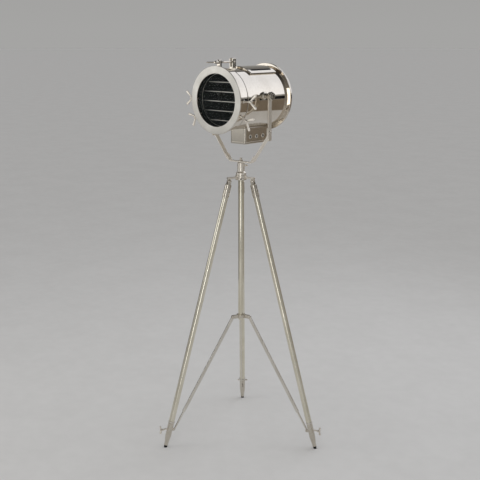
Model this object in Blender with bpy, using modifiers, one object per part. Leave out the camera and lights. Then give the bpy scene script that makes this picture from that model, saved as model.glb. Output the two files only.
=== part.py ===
"""Tripod spotlight: a polished drum lamp in a bar yoke on a folding three-legged stand.

Metres, +Z up. The lamp faces -Y. The whole model hangs from one empty, which is moved at the end
so that the origin lies under the middle of the model's box, on the floor.
"""
from math import atan, atan2, cos, degrees, hypot, pi, radians, sin, tan

import bmesh
import bpy
from mathutils import Vector

# Clearances and rounding
GAP = 0.0003
RUNNING_GAP = 0.0004
OVERRUN = 0.004
MERGE_DISTANCE = 0.00002
FULL_TURN = 2 * pi
QUARTER_TURN = pi / 2

# How finely round pieces are cut into facets
DRUM_STEPS = 48
TUBE_STEPS = 20
BOLT_STEPS = 12
BOWL_STEPS = 32
ARC_STEPS = 6
KNOB_STEPS_PER_LOBE = 8

# Stand: where the three legs go
LEG_COUNT = 3
FIRST_LEG_AZIMUTH = radians(131.28)
FOOT_CIRCLE_RADIUS = 0.390
HINGE_CIRCLE_RADIUS = 0.0595
HINGE_HEIGHT = 1.189

# Hub on top of the stand
HUB_RADIUS = 0.0255
HUB_LIFT = 0.003
HUB_HEIGHT = 0.019
HUB_GROOVE_DEPTH = 0.0014
HUB_GROOVE_HEIGHT = 0.0028
HUB_STUD_RADIUS = 0.0085
HUB_STUD_HEIGHT = 0.023
COLUMN_SOCKET_DEPTH = 0.012
HUB_ARM_REACH = 0.069
HUB_ARM_WIDTH = 0.013
HUB_ARM_THICKNESS = 0.008
HUB_ARM_BURY = 0.010
HUB_ARM_CLEARANCE = 0.0015
HINGE_LUG_THICKNESS = 0.008
HINGE_LUG_RADIUS = 0.0085
HINGE_BOLT_RADIUS = 0.003
HINGE_BOLT_HEAD_RADIUS = 0.0065
HINGE_BOLT_HEAD_THICKNESS = 0.0036

# Centre column and the post above the hub
TUBE_RADIUS = 0.0127
TUBE_WALL = 0.0015
COLUMN_END = 0.0166
POST_RADIUS = 0.0165
POST_HEIGHT = 0.0555
POST_FLANGE_RADIUS = 0.0225
POST_FLANGE_THICKNESS = 0.012
POST_FLANGE_TAPER = 0.0055
SPIGOT_RADIUS = 0.008
SPIGOT_DEPTH = 0.026
SPIGOT_END_ROOM = 0.002
PAN_SCREW_AZIMUTH = radians(42.0)
PAN_SCREW_DROP = 0.0115

# Leg: a forked socket, a tube, a shoe and a rubber tip
SOCKET_RADIUS = 0.0145
SOCKET_LENGTH = 0.059
SOCKET_TOP = 0.0145
SOCKET_CHAMFER = 0.0022
SOCKET_BORE_DEPTH = 0.028
FORK_EAR_RADIUS = 0.008
FORK_EAR_THICKNESS = 0.0035
FORK_SLOT_ROOM = 0.0014
FORK_BURY = 0.003
COLLAR_HEIGHT = 0.1180
COLLAR_THICKNESS = 0.004
COLLAR_RADIUS = 0.0147
SHOE_RADIUS = 0.0132
SHOE_PLUG_LENGTH = 0.020
SHOE_TAPER_HEIGHT = 0.056
SHOE_END_HEIGHT = 0.0225
SHOE_END_RADIUS = 0.0070
TIP_RADIUS = 0.0080
TIP_ROLL = 0.0035
TIP_FOOT_RADIUS = 0.0068

# Braces and the spreader that slides on the column
SPREADER_HEIGHT = 0.5616
SPREADER_RING_RADIUS = 0.020
SPREADER_RING_HEIGHT = 0.015
SPREADER_PIN_CIRCLE = 0.043
SPREADER_CHEEK = 0.0026
SPREADER_CHEEK_RADIUS = 0.0078
BRACE_WIDTH = 0.0145
BRACE_THICKNESS = 0.004
BRACE_STRAP_WIDTH = 0.0078
BRACE_STRAP_LENGTH = 0.090
BRACE_STRAP_SHOULDER = 0.004
BRACE_PIN_RADIUS = 0.0025
BRACE_PIN_HEAD_RADIUS = 0.0045
BRACE_PIN_HEAD_THICKNESS = 0.0016
BRACE_FOOT_HEIGHT = 0.084
BRACE_FOOT_OFFSET = 0.0215
BRACE_SIDE_GAP = 0.0004
FOOT_LUG_RADIUS = 0.0062
RIVET_RADIUS = 0.0034
RIVET_HEAD = 0.002

# Hand screws, measured along the shank from the face that each is screwed into
TEE_SCREW_HEIGHT = 0.0895
SCREW_SINK = 0.006
WING_SCREW_SHANK_RADIUS = 0.0038
WING_SCREW_HUB_RADIUS = 0.0064
WING_SCREW_HUB_START = 0.0300
WING_SCREW_HUB_END = 0.0450
WING_SCREW_HALF_SPAN = 0.0305
WING_SCREW_BLADE_ROOT = 0.0355
WING_SCREW_BLADE_TIP = 0.0700
WING_SCREW_BLADE_WIDTH = 0.0090
WING_SCREW_BLADE_THICKNESS = 0.0042
LATCH_NUT_HUB_RADIUS = 0.0066
LATCH_NUT_HUB_END = 0.0200
LATCH_NUT_HALF_SPAN = 0.0290
LATCH_NUT_BLADE_ROOT = 0.0085
LATCH_NUT_BLADE_TIP = 0.0430
LATCH_NUT_BLADE_WIDTH = 0.0095
LATCH_NUT_BLADE_THICKNESS = 0.0042
TEE_SCREW_SHANK_RADIUS = 0.0035
TEE_SCREW_HUB_RADIUS = 0.0050
TEE_SCREW_HUB_START = 0.0230
TEE_SCREW_HUB_END = 0.0345
TEE_SCREW_HALF_SPAN = 0.0180
TEE_SCREW_BLADE_ROOT = 0.0265
TEE_SCREW_BLADE_TIP = 0.0350
TEE_SCREW_BLADE_WIDTH = 0.0062
TEE_SCREW_BLADE_THICKNESS = 0.0058
PAN_SCREW_SHANK_RADIUS = 0.0030
PAN_SCREW_HUB_RADIUS = 0.0045
PAN_SCREW_HUB_START = 0.0035
PAN_SCREW_HUB_END = 0.0100
PAN_SCREW_HALF_SPAN = 0.0090
PAN_SCREW_BLADE_ROOT = 0.0050
PAN_SCREW_BLADE_TIP = 0.0145
PAN_SCREW_BLADE_WIDTH = 0.0052
PAN_SCREW_BLADE_THICKNESS = 0.0036

# Yoke: a bent base bar, two slanted arms and two upright side bars
BAR_WIDTH = 0.021
BAR_THICKNESS = 0.005
BAR_BEND_RADIUS = 0.007
YOKE_BASE_HALF_LENGTH = 0.062
YOKE_BASE_LIFT = 0.0027
YOKE_BASE_LEG = 0.037
YOKE_SLANT = radians(53.5)
YOKE_ARM_START = 0.014
YOKE_ARM_TOP_LENGTH = 0.036
YOKE_ROOM = 0.0345
SIDE_BAR_FOOT = 0.0381
SIDE_BAR_END_RISE = 0.0175
YOKE_BOLT_RISE = 0.019
YOKE_BOLT_RADIUS = 0.003
YOKE_BOLT_HEAD_RADIUS = 0.006
YOKE_BOLT_HEAD = 0.003
SPIGOT_SHOULDER_RADIUS = 0.013
SPIGOT_STUD_RADIUS = 0.006
SPIGOT_STUD_RISE = 0.015
SPIGOT_NUT_RADIUS = 0.0092
SPIGOT_NUT_HEIGHT = 0.006
NUT_SIDES = 6

# Tilt pivots
TILT_RISE = 0.2992
TRUNNION_STUD_RADIUS = 0.005
TRUNNION_RADIUS = 0.011
TRUNNION_FLANGE_RADIUS = 0.0165
TRUNNION_FLANGE_TAPER = 0.0035
TRUNNION_FLANGE_THICKNESS = 0.006
TRUNNION_STUD_REACH = 0.0095
TILT_KNOB_RADIUS = 0.0185
TILT_KNOB_THICKNESS = 0.010
TILT_KNOB_HUB_RADIUS = 0.0115
TILT_KNOB_HUB_REACH = 0.0025
TILT_KNOB_LOBES = 6
TILT_KNOB_LOBE_DEPTH = 0.0022

# Lamp barrel, measured along its axis from the tilt pivots: forwards is positive
BARREL_DROP = 0.0175
BARREL_RADIUS = 0.1305
BARREL_WALL = 0.0015
BARREL_FRONT = 0.1005
BEAD_PROUD = 0.002
BEAD_WIDTH = 0.004
BEAD_RUNOUT = 0.001
RIM_PROUD = 0.0167
RIM_FRONT = -0.1580
RIM_RUNOUT = 0.0015
RIM_THICKNESS = 0.0045
REAR_RIM_THICKNESS = 0.0055
COVER_WALL = 0.0015
COVER_DOME_DEPTH = 0.012
COVER_DOME_INSET = 0.002
COVER_FLAT_RADIUS = 0.034
COVER_DOME_STEPS = 4

# Front ring, glass and louvre
RING_SKIRT_PROUD = 0.003
RING_FLANGE_PROUD = 0.0105
RING_FACE_WIDTH = 0.033
RING_FACE = 0.160
RING_THICKNESS = 0.006
RING_SKIRT_WALL = 0.0017
RING_RUNOUT = 0.0015
GLASS_THICKNESS = 0.004
LOUVRE_FLANGE_FRONT = 0.122
LOUVRE_FLANGE_THICKNESS = 0.004
LOUVRE_RING_STEP = 0.001
LOUVRE_RING_WALL = 0.0018
LOUVRE_BACK = 0.094
LOUVRE_FRONT = 0.127
LOUVRE_BLADES = 5
LOUVRE_PITCH_SHARE = 0.3616
LOUVRE_BLADE_DEPTH = 0.032
LOUVRE_BLADE_THICKNESS = 0.0014
LOUVRE_BLADE_TILT = radians(25.0)
LOUVRE_BLADE_FRONT = 0.120
LOUVRE_ROD_RADIUS = 0.002
LOUVRE_ROD_STEPS = 8
LOUVRE_BURY_SHARE = 0.5

# Reflector, lamp holder and bulb
REFLECTOR_FLANGE = 0.017
REFLECTOR_MOUTH = -0.012
REFLECTOR_DEPTH = 0.082
REFLECTOR_NECK_RADIUS = 0.0225
REFLECTOR_WALL = 0.0014
REFLECTOR_PROFILE_STEPS = 5
HOLDER_RADIUS = 0.021
HOLDER_BASE_RADIUS = 0.030
HOLDER_BASE_THICKNESS = 0.006
HOLDER_REACH = 0.012
BULB_NECK_RADIUS = 0.013
BULB_RADIUS = 0.029
BULB_LENGTH = 0.066
BULB_PROFILE_STEPS = 6

# Vent cover on top, housing and cable gland underneath
VENT_FRONT = 0.028
VENT_BACK = -0.139
VENT_HALF_ANGLE = radians(36.5)
VENT_HEIGHT = 0.008
VENT_WALL = 0.0014
VENT_ARC_STEPS = 10
VENT_HOLE_MARGIN = 0.014
HOUSING_HALF_WIDTH = 0.0435
HOUSING_FRONT = 0.0225
HOUSING_BACK = -0.1545
HOUSING_DEPTH = 0.066
HOUSING_WALL = 0.002
HOUSING_CORNER = 0.008
HOUSING_CORNER_STEPS = 2
HOUSING_HOLES = 4
HOUSING_HOLE_RADIUS = 0.0045
HOUSING_HOLE_PITCH = 0.0415
HOUSING_HOLE_FIRST = 0.0345
HOUSING_HOLE_RISE = 0.0315
EYELET_RADIUS = 0.009
EYELET_PROUD = 0.0016
GLAND_RADIUS = 0.009
GLAND_FLANGE_RADIUS = 0.0125
GLAND_FLANGE_THICKNESS = 0.004
GLAND_LENGTH = 0.020
GLAND_BORE_RADIUS = 0.004
GLAND_RISE = 0.024

# Swing-bolt latch on top of the barrel
LATCH_PIVOT = 0.052
LATCH_RISE = 0.027
LATCH_BRACKET_LENGTH = 0.022
LATCH_BRACKET_WIDTH = 0.019
LATCH_BRACKET_RISE = 0.016
LATCH_FOOT = 0.007
LATCH_SLOT = 0.009
LATCH_PIN_RADIUS = 0.003
LATCH_EYE_RADIUS = 0.0075
LATCH_ROD_RADIUS = 0.0042
LATCH_LUG_BACK = 0.130
LATCH_LUG_LENGTH = 0.011
LATCH_LUG_WIDTH = 0.018
LATCH_LUG_RISE = 0.0105
LATCH_NUT_GAP = 0.0009
LATCH_ROD_END = 0.004

# Wing screws through the front ring's skirt
WING_SCREW_STATION = 0.130
WING_SCREW_ANGLES = (radians(0.0), radians(180.0), radians(-28.0), radians(-152.0))
WING_SCREW_BOSS_RADIUS = 0.0075
WING_SCREW_BOSS_HEIGHT = 0.004
WING_SCREW_TIP_REACH = 0.0026


class HandScrew:
    """Sizes of one pattern of hand screw, all measured from the face that it is screwed into."""

    def __init__(self, shank_radius, hub_radius, hub_start, hub_end, half_span, blade_root, blade_tip,
                 blade_width, blade_thickness):
        self.shank_radius = shank_radius
        self.hub_radius = hub_radius
        self.hub_start = hub_start
        self.hub_end = hub_end
        self.half_span = half_span
        self.blade_root = blade_root
        self.blade_tip = blade_tip
        self.blade_width = blade_width
        self.blade_thickness = blade_thickness


WING_SCREW = HandScrew(
    shank_radius=WING_SCREW_SHANK_RADIUS,
    hub_radius=WING_SCREW_HUB_RADIUS,
    hub_start=WING_SCREW_HUB_START,
    hub_end=WING_SCREW_HUB_END,
    half_span=WING_SCREW_HALF_SPAN,
    blade_root=WING_SCREW_BLADE_ROOT,
    blade_tip=WING_SCREW_BLADE_TIP,
    blade_width=WING_SCREW_BLADE_WIDTH,
    blade_thickness=WING_SCREW_BLADE_THICKNESS)
LATCH_NUT = HandScrew(
    shank_radius=LATCH_ROD_RADIUS,
    hub_radius=LATCH_NUT_HUB_RADIUS,
    hub_start=0.0,
    hub_end=LATCH_NUT_HUB_END,
    half_span=LATCH_NUT_HALF_SPAN,
    blade_root=LATCH_NUT_BLADE_ROOT,
    blade_tip=LATCH_NUT_BLADE_TIP,
    blade_width=LATCH_NUT_BLADE_WIDTH,
    blade_thickness=LATCH_NUT_BLADE_THICKNESS)
TEE_SCREW = HandScrew(
    shank_radius=TEE_SCREW_SHANK_RADIUS,
    hub_radius=TEE_SCREW_HUB_RADIUS,
    hub_start=TEE_SCREW_HUB_START,
    hub_end=TEE_SCREW_HUB_END,
    half_span=TEE_SCREW_HALF_SPAN,
    blade_root=TEE_SCREW_BLADE_ROOT,
    blade_tip=TEE_SCREW_BLADE_TIP,
    blade_width=TEE_SCREW_BLADE_WIDTH,
    blade_thickness=TEE_SCREW_BLADE_THICKNESS)
PAN_SCREW = HandScrew(
    shank_radius=PAN_SCREW_SHANK_RADIUS,
    hub_radius=PAN_SCREW_HUB_RADIUS,
    hub_start=PAN_SCREW_HUB_START,
    hub_end=PAN_SCREW_HUB_END,
    half_span=PAN_SCREW_HALF_SPAN,
    blade_root=PAN_SCREW_BLADE_ROOT,
    blade_tip=PAN_SCREW_BLADE_TIP,
    blade_width=PAN_SCREW_BLADE_WIDTH,
    blade_thickness=PAN_SCREW_BLADE_THICKNESS)

# What follows from the sizes above
LEG_LEAN = atan((FOOT_CIRCLE_RADIUS - HINGE_CIRCLE_RADIUS) / HINGE_HEIGHT)
LEG_LENGTH = hypot(FOOT_CIRCLE_RADIUS - HINGE_CIRCLE_RADIUS, HINGE_HEIGHT)
HUB_BOTTOM = HINGE_HEIGHT + HUB_LIFT
HUB_TOP = HUB_BOTTOM + HUB_HEIGHT
POST_BOTTOM = HUB_TOP + GAP
POST_TOP = POST_BOTTOM + POST_HEIGHT
YOKE_BASE_BOTTOM = POST_TOP + YOKE_BASE_LIFT
YOKE_BASE_LEVEL = YOKE_BASE_BOTTOM + 0.5 * BAR_THICKNESS
TILT_HEIGHT = POST_TOP + TILT_RISE
BARREL_BORE = BARREL_RADIUS - BARREL_WALL
RIM_RADIUS = BARREL_RADIUS + RIM_PROUD
RIM_BACK = RIM_FRONT - RIM_RUNOUT - RIM_THICKNESS
COVER_FACE = RIM_BACK - GAP
COVER_DOME_RADIUS = BARREL_BORE - COVER_DOME_INSET
RING_SKIRT_RADIUS = BARREL_RADIUS + RING_SKIRT_PROUD
RING_RADIUS = RING_SKIRT_RADIUS + RING_FLANGE_PROUD
RING_OPENING_RADIUS = RING_RADIUS - RING_FACE_WIDTH
LOUVRE_RING_RADIUS = RING_OPENING_RADIUS + LOUVRE_RING_STEP
LOUVRE_PITCH = LOUVRE_PITCH_SHARE * LOUVRE_RING_RADIUS
REFLECTOR_RADIUS = BARREL_BORE - REFLECTOR_FLANGE
LATCH_RADIUS = BARREL_RADIUS + LATCH_RISE
LATCH_BRACKET_TOP = LATCH_RADIUS + LATCH_BRACKET_RISE
LATCH_LUG_TOP = LATCH_RADIUS + LATCH_LUG_RISE
COLUMN_BOTTOM = SPREADER_HEIGHT - COLUMN_END
SLEEVE_RADIUS = TUBE_RADIUS + RUNNING_GAP
FORK_SLOT = HINGE_LUG_THICKNESS + 2 * GAP
FORK_WIDTH = FORK_SLOT + 2 * FORK_EAR_THICKNESS
BRACE_SLOT = BRACE_THICKNESS + 2 * GAP
BRACE_SIDE = 0.5 * (BRACE_THICKNESS + BRACE_SIDE_GAP)
BRACE_FOOT_RADIUS = (HINGE_CIRCLE_RADIUS - BRACE_FOOT_OFFSET * cos(LEG_LEAN)
                     + (LEG_LENGTH - BRACE_FOOT_HEIGHT) * sin(LEG_LEAN))
BRACE_FOOT_LEVEL = (HINGE_HEIGHT - BRACE_FOOT_OFFSET * sin(LEG_LEAN)
                    - (LEG_LENGTH - BRACE_FOOT_HEIGHT) * cos(LEG_LEAN))
BRACE_REACH = BRACE_FOOT_RADIUS - SPREADER_PIN_CIRCLE
BRACE_DROP = SPREADER_HEIGHT - BRACE_FOOT_LEVEL
BRACE_LENGTH = hypot(BRACE_REACH, BRACE_DROP)
BRACE_LEAN = atan(BRACE_REACH / BRACE_DROP)
SKIRT_BORE = RING_SKIRT_RADIUS - RING_SKIRT_WALL
LOUVRE_FLANGE_RADIUS = SKIRT_BORE - GAP
SIDE_BAR_HALF_SPAN = BARREL_RADIUS + YOKE_ROOM
SIDE_BAR_TOP = TILT_HEIGHT + SIDE_BAR_END_RISE
SIDE_BAR_INNER = SIDE_BAR_HALF_SPAN - 0.5 * BAR_THICKNESS
SIDE_BAR_OUTER = SIDE_BAR_HALF_SPAN + 0.5 * BAR_THICKNESS
ARM_UPRIGHT = SIDE_BAR_INNER - GAP - 0.5 * BAR_THICKNESS
TEE_SCREW_TURN = (0.0, QUARTER_TURN + LEG_LEAN, 0.0)
HOUSING_DROP = BARREL_RADIUS + HOUSING_DEPTH

OBJECT_NAME = "tripod_spotlight"


# Materials: one Principled shader for each, from the finishes that the object shows

def make_material(name, colour, roughness, metallic):
    material = bpy.data.materials.new(name)
    material.use_nodes = True
    material.diffuse_color = (*colour, 1.0)
    shader = material.node_tree.nodes["Principled BSDF"]
    shader.inputs["Base Color"].default_value = (*colour, 1.0)
    shader.inputs["Roughness"].default_value = roughness
    shader.inputs["Metallic"].default_value = metallic
    return material


def make_materials():
    return {
        "polished": make_material("polished_nickel", (0.78, 0.76, 0.73), 0.08, 1.0),
        "satin": make_material("satin_nickel", (0.66, 0.65, 0.62), 0.35, 1.0),
        "tube": make_material("nickel_tube", (0.70, 0.68, 0.60), 0.18, 1.0),
        "cast": make_material("cast_nickel", (0.74, 0.73, 0.69), 0.22, 1.0),
        "black": make_material("black_enamel", (0.02, 0.02, 0.02), 0.5, 0.0),
        "rubber": make_material("black_rubber", (0.015, 0.015, 0.015), 0.8, 0.0),
        "glass": make_material("clear_glass", (0.9, 0.93, 0.93), 0.02, 0.0),
        "opal": make_material("opal_glass", (0.93, 0.92, 0.88), 0.2, 0.0),
        "ceramic": make_material("glazed_ceramic", (0.85, 0.84, 0.80), 0.3, 0.0),
    }


# Collections, empties and the modelling tools that all sub-parts share

def clear_scene():
    for obj in list(bpy.data.objects):
        bpy.data.objects.remove(obj, do_unlink=True)


def make_collection(name):
    collection = bpy.data.collections.new(name)
    bpy.context.scene.collection.children.link(collection)
    return collection


clear_scene()
PARTS = make_collection(OBJECT_NAME)
CUTTERS = make_collection(OBJECT_NAME + "_cutters")
MATERIALS = make_materials()


def add_empty(name, parent, place=(0.0, 0.0, 0.0), turn=(0.0, 0.0, 0.0)):
    empty = bpy.data.objects.new(name, None)
    empty.parent = parent
    empty.location = place
    empty.rotation_euler = turn
    PARTS.objects.link(empty)
    return empty


def add_object(name, mesh, finish, parent, place, turn):
    """A piece of the object when it has a finish, and otherwise a shape to cut or join with."""
    obj = bpy.data.objects.new(name, mesh)
    obj.parent = parent
    obj.location = place
    obj.rotation_euler = turn
    if finish is None:
        obj.hide_render = True
        obj.display_type = "WIRE"
        CUTTERS.objects.link(obj)
    else:
        mesh.materials.append(MATERIALS[finish])
        PARTS.objects.link(obj)
    return obj


def mesh_from(bm, name):
    mesh = bpy.data.meshes.new(name)
    bm.to_mesh(mesh)
    bm.free()
    return mesh


def box(name, size, finish, parent, place=(0.0, 0.0, 0.0), turn=(0.0, 0.0, 0.0)):
    """A block of the given size about its place."""
    bm = bmesh.new()
    bmesh.ops.create_cube(bm, size=1)
    bmesh.ops.scale(bm, vec=size, verts=bm.verts)
    return add_object(name, mesh_from(bm, name), finish, parent, place, turn)


def cylinder(name, radius, low, high, steps, finish, parent, place=(0.0, 0.0, 0.0),
             turn=(0.0, 0.0, 0.0)):
    """A round bar along local Z, from low to high."""
    bm = bmesh.new()
    bmesh.ops.create_cone(bm, cap_ends=True, segments=steps, radius1=radius, radius2=radius,
                          depth=high - low)
    bmesh.ops.translate(bm, vec=(0.0, 0.0, 0.5 * (low + high)), verts=bm.verts)
    return add_object(name, mesh_from(bm, name), finish, parent, place, turn)


def turned(name, profile, steps, finish, parent, place=(0.0, 0.0, 0.0), turn=(0.0, 0.0, 0.0),
           ring=False):
    """A profile of (radius, height) points turned about local Z by a Screw modifier.

    The profile runs down the outer side. A ring's profile closes on itself, clear of the axis.
    """
    bm = bmesh.new()
    verts = [bm.verts.new((radius, 0.0, height)) for radius, height in profile]
    ends = verts[1:] + verts[:1] if ring else verts[1:]
    for start, end in zip(verts, ends):
        bm.edges.new((start, end))
    obj = add_object(name, mesh_from(bm, name), finish, parent, place, turn)
    screw = obj.modifiers.new("turn", "SCREW")
    screw.steps = steps
    screw.render_steps = steps
    screw.use_merge_vertices = True
    screw.merge_threshold = MERGE_DISTANCE
    screw.use_smooth_shade = True
    return obj


def plate(name, outline, thickness, finish, parent, place=(0.0, 0.0, 0.0), turn=(0.0, 0.0, 0.0)):
    """A flat outline in local XY, extruded to its thickness about that plane, as a mesh."""
    curve = bpy.data.curves.new(name + "_outline", "CURVE")
    curve.dimensions = "2D"
    curve.fill_mode = "BOTH"
    curve.extrude = 0.5 * thickness
    spline = curve.splines.new("POLY")
    spline.points.add(len(outline) - 1)
    for point, (across, along) in zip(spline.points, outline):
        point.co = (across, along, 0.0, 1.0)
    spline.use_cyclic_u = True
    drawn = bpy.data.objects.new(name + "_outline", curve)
    CUTTERS.objects.link(drawn)
    bpy.context.view_layer.update()
    evaluated = drawn.evaluated_get(bpy.context.evaluated_depsgraph_get())
    mesh = bpy.data.meshes.new_from_object(evaluated)
    bpy.data.objects.remove(drawn, do_unlink=True)
    bm = bmesh.new()
    bm.from_mesh(mesh)
    bmesh.ops.remove_doubles(bm, verts=bm.verts, dist=MERGE_DISTANCE)
    bmesh.ops.recalc_face_normals(bm, faces=bm.faces)
    bm.to_mesh(mesh)
    bm.free()
    mesh.name = name
    mesh.materials.clear()
    return add_object(name, mesh, finish, parent, place, turn)


def combine(piece, tool, operation):
    boolean = piece.modifiers.new(operation.lower() + "_" + tool.name, "BOOLEAN")
    boolean.operation = operation
    boolean.solver = "EXACT"
    boolean.object = tool
    return piece


def join(piece, tool):
    return combine(piece, tool, "UNION")


def cut(piece, tool):
    return combine(piece, tool, "DIFFERENCE")


def keep_inside(piece, tool):
    return combine(piece, tool, "INTERSECT")


# Outlines and directions

def arc(centre, radius, start, end, steps=ARC_STEPS):
    """Points on an arc from one angle to another, both ends included."""
    points = []
    for index in range(steps + 1):
        angle = start + (end - start) * index / steps
        points.append((centre[0] + radius * cos(angle), centre[1] + radius * sin(angle)))
    return points


def rounded_path(points, radius, steps=ARC_STEPS):
    """The same open path with each inner corner replaced by a round bend."""
    path = [points[0]]
    for before, corner, after in zip(points, points[1:], points[2:]):
        into = (Vector(corner) - Vector(before)).normalized()
        out = (Vector(after) - Vector(corner)).normalized()
        bend = atan2(into.x * out.y - into.y * out.x, into.dot(out))
        set_back = radius * tan(abs(bend) / 2)
        side = 1 if bend > 0 else -1
        start = Vector(corner) - into * set_back
        centre = start + Vector((-into.y, into.x)) * radius * side
        first = atan2(start.y - centre.y, start.x - centre.x)
        path.extend(arc(centre, radius, first, first + bend, steps))
    path.append(points[-1])
    return path


def strip_outline(path, thickness):
    """The closed outline of a bar of even thickness bent along a path."""
    left = []
    right = []
    for index, point in enumerate(path):
        before = Vector(path[max(index - 1, 0)])
        after = Vector(path[min(index + 1, len(path) - 1)])
        here = Vector(point)
        into = (here - before).normalized() if index > 0 else (after - here).normalized()
        out = (after - here).normalized() if index < len(path) - 1 else into
        mitre = (into + out).normalized()
        normal = Vector((-mitre.y, mitre.x))
        reach = 0.5 * thickness / mitre.dot(into)
        left.append(tuple(here + normal * reach))
        right.append(tuple(here - normal * reach))
    return left + right[::-1]


def leg_azimuth(index):
    return FIRST_LEG_AZIMUTH + index * FULL_TURN / LEG_COUNT


def around(radius, azimuth, height=0.0):
    return (radius * cos(azimuth), radius * sin(azimuth), height)


SIDEWAYS = (QUARTER_TURN, 0.0, 0.0)


# Hand screws: a turned shank and hub with two blades in a V

def blade_outline(pattern):
    """Both blades as one V, in the plane that holds the screw's axis."""
    reach = pattern.half_span
    width = pattern.blade_width
    tip = pattern.blade_tip
    root = pattern.blade_root
    rounding = 0.25 * width
    right = [(reach - rounding, tip - width),
             (reach, tip - width + rounding),
             (reach, tip - rounding),
             (reach - rounding, tip)]
    left = [(-across, along) for across, along in right[::-1]]
    return [(0.0, root)] + right + [(0.0, root + width)] + left


def hand_screw(name, pattern, sink, parent, place, turn, blade_turn=0.0, bore=False):
    """A hand screw along local Z, its shank sunk below the face, or a nut when it has a bore."""
    if bore:
        profile = [(pattern.hub_radius, pattern.hub_end),
                   (pattern.hub_radius, pattern.hub_start),
                   (pattern.shank_radius + GAP, pattern.hub_start),
                   (pattern.shank_radius + GAP, pattern.hub_end)]
    else:
        profile = [(0.0, pattern.hub_end),
                   (pattern.hub_radius, pattern.hub_end),
                   (pattern.hub_radius, pattern.hub_start),
                   (pattern.shank_radius, pattern.hub_start),
                   (pattern.shank_radius, -sink),
                   (0.0, -sink)]
    screw = turned(name, profile, BOLT_STEPS, "cast", parent, place, turn, ring=bore)
    blades = plate(name + "_blades", blade_outline(pattern), pattern.blade_thickness, None, screw,
                   turn=(QUARTER_TURN, 0.0, blade_turn))
    join(screw, blades)
    if bore:
        hole = cylinder(name + "_bore", pattern.shank_radius + GAP, pattern.hub_start - OVERRUN,
                        pattern.blade_tip + OVERRUN, BOLT_STEPS, None, screw)
        cut(screw, hole)
    return screw


# Stand: hub, post and centre column

def hub_arm(hub, index):
    """One arm of the hub with the lug that the leg hangs from."""
    azimuth = leg_azimuth(index)
    turn = (0.0, 0.0, azimuth)
    inner = HUB_RADIUS - HUB_ARM_BURY
    bottom = HINGE_HEIGHT + FORK_EAR_RADIUS + HUB_ARM_CLEARANCE
    arm = box("hub_arm_%d" % (index + 1), (HUB_ARM_REACH - inner, HUB_ARM_WIDTH, HUB_ARM_THICKNESS),
              None, hub,
              around(0.5 * (HUB_ARM_REACH + inner), azimuth, bottom + 0.5 * HUB_ARM_THICKNESS), turn)
    join(hub, arm)
    top = bottom + 0.5 * HUB_ARM_THICKNESS - HINGE_HEIGHT
    outline = ([(HINGE_LUG_RADIUS, top), (-HINGE_LUG_RADIUS, top)]
               + arc((0.0, 0.0), HINGE_LUG_RADIUS, pi, FULL_TURN))
    lug = plate("hub_lug_%d" % (index + 1), outline, HINGE_LUG_THICKNESS, None, hub,
                around(HINGE_CIRCLE_RADIUS, azimuth, HINGE_HEIGHT), (QUARTER_TURN, 0.0, azimuth))
    join(hub, lug)
    hole = cylinder("hub_hole_%d" % (index + 1), HINGE_BOLT_RADIUS + GAP, -HINGE_LUG_THICKNESS,
                    HINGE_LUG_THICKNESS, BOLT_STEPS, None, hub,
                    around(HINGE_CIRCLE_RADIUS, azimuth, HINGE_HEIGHT), (QUARTER_TURN, 0.0, azimuth))
    cut(hub, hole)


def make_top_hub(stand):
    groove_top = HUB_BOTTOM + 0.5 * (HUB_HEIGHT + HUB_GROOVE_HEIGHT)
    groove_bottom = groove_top - HUB_GROOVE_HEIGHT
    profile = [(0.0, HUB_TOP + HUB_STUD_HEIGHT),
               (HUB_STUD_RADIUS, HUB_TOP + HUB_STUD_HEIGHT),
               (HUB_STUD_RADIUS, HUB_TOP),
               (HUB_RADIUS, HUB_TOP),
               (HUB_RADIUS, groove_top),
               (HUB_RADIUS - HUB_GROOVE_DEPTH, 0.5 * (groove_top + groove_bottom)),
               (HUB_RADIUS, groove_bottom),
               (HUB_RADIUS, HUB_BOTTOM),
               (SLEEVE_RADIUS, HUB_BOTTOM),
               (SLEEVE_RADIUS, HUB_BOTTOM + COLUMN_SOCKET_DEPTH),
               (0.0, HUB_BOTTOM + COLUMN_SOCKET_DEPTH)]
    hub = turned("top_hub", profile, TUBE_STEPS, "cast", stand)
    for index in range(LEG_COUNT):
        hub_arm(hub, index)


def make_post_socket(stand):
    taper_bottom = POST_BOTTOM + POST_FLANGE_THICKNESS
    taper_top = taper_bottom + POST_FLANGE_TAPER
    stud_bore = HUB_STUD_RADIUS + GAP
    stud_bore_top = HUB_TOP + HUB_STUD_HEIGHT + GAP
    spigot_bore = SPIGOT_RADIUS + GAP
    spigot_bore_bottom = POST_TOP - SPIGOT_DEPTH - SPIGOT_END_ROOM
    profile = [(spigot_bore, POST_TOP),
               (POST_RADIUS, POST_TOP),
               (POST_RADIUS, taper_top),
               (POST_FLANGE_RADIUS, taper_bottom),
               (POST_FLANGE_RADIUS, POST_BOTTOM),
               (stud_bore, POST_BOTTOM),
               (stud_bore, stud_bore_top),
               (0.0, stud_bore_top),
               (0.0, spigot_bore_bottom),
               (spigot_bore, spigot_bore_bottom)]
    post = turned("post_socket", profile, TUBE_STEPS, "cast", stand, ring=True)
    level = POST_TOP - PAN_SCREW_DROP
    hole = cylinder("post_screw_hole", PAN_SCREW.shank_radius + GAP, 0.5 * SPIGOT_RADIUS,
                    POST_RADIUS + OVERRUN, BOLT_STEPS, None, post, (0.0, 0.0, level),
                    (0.0, QUARTER_TURN, PAN_SCREW_AZIMUTH))
    cut(post, hole)


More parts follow.
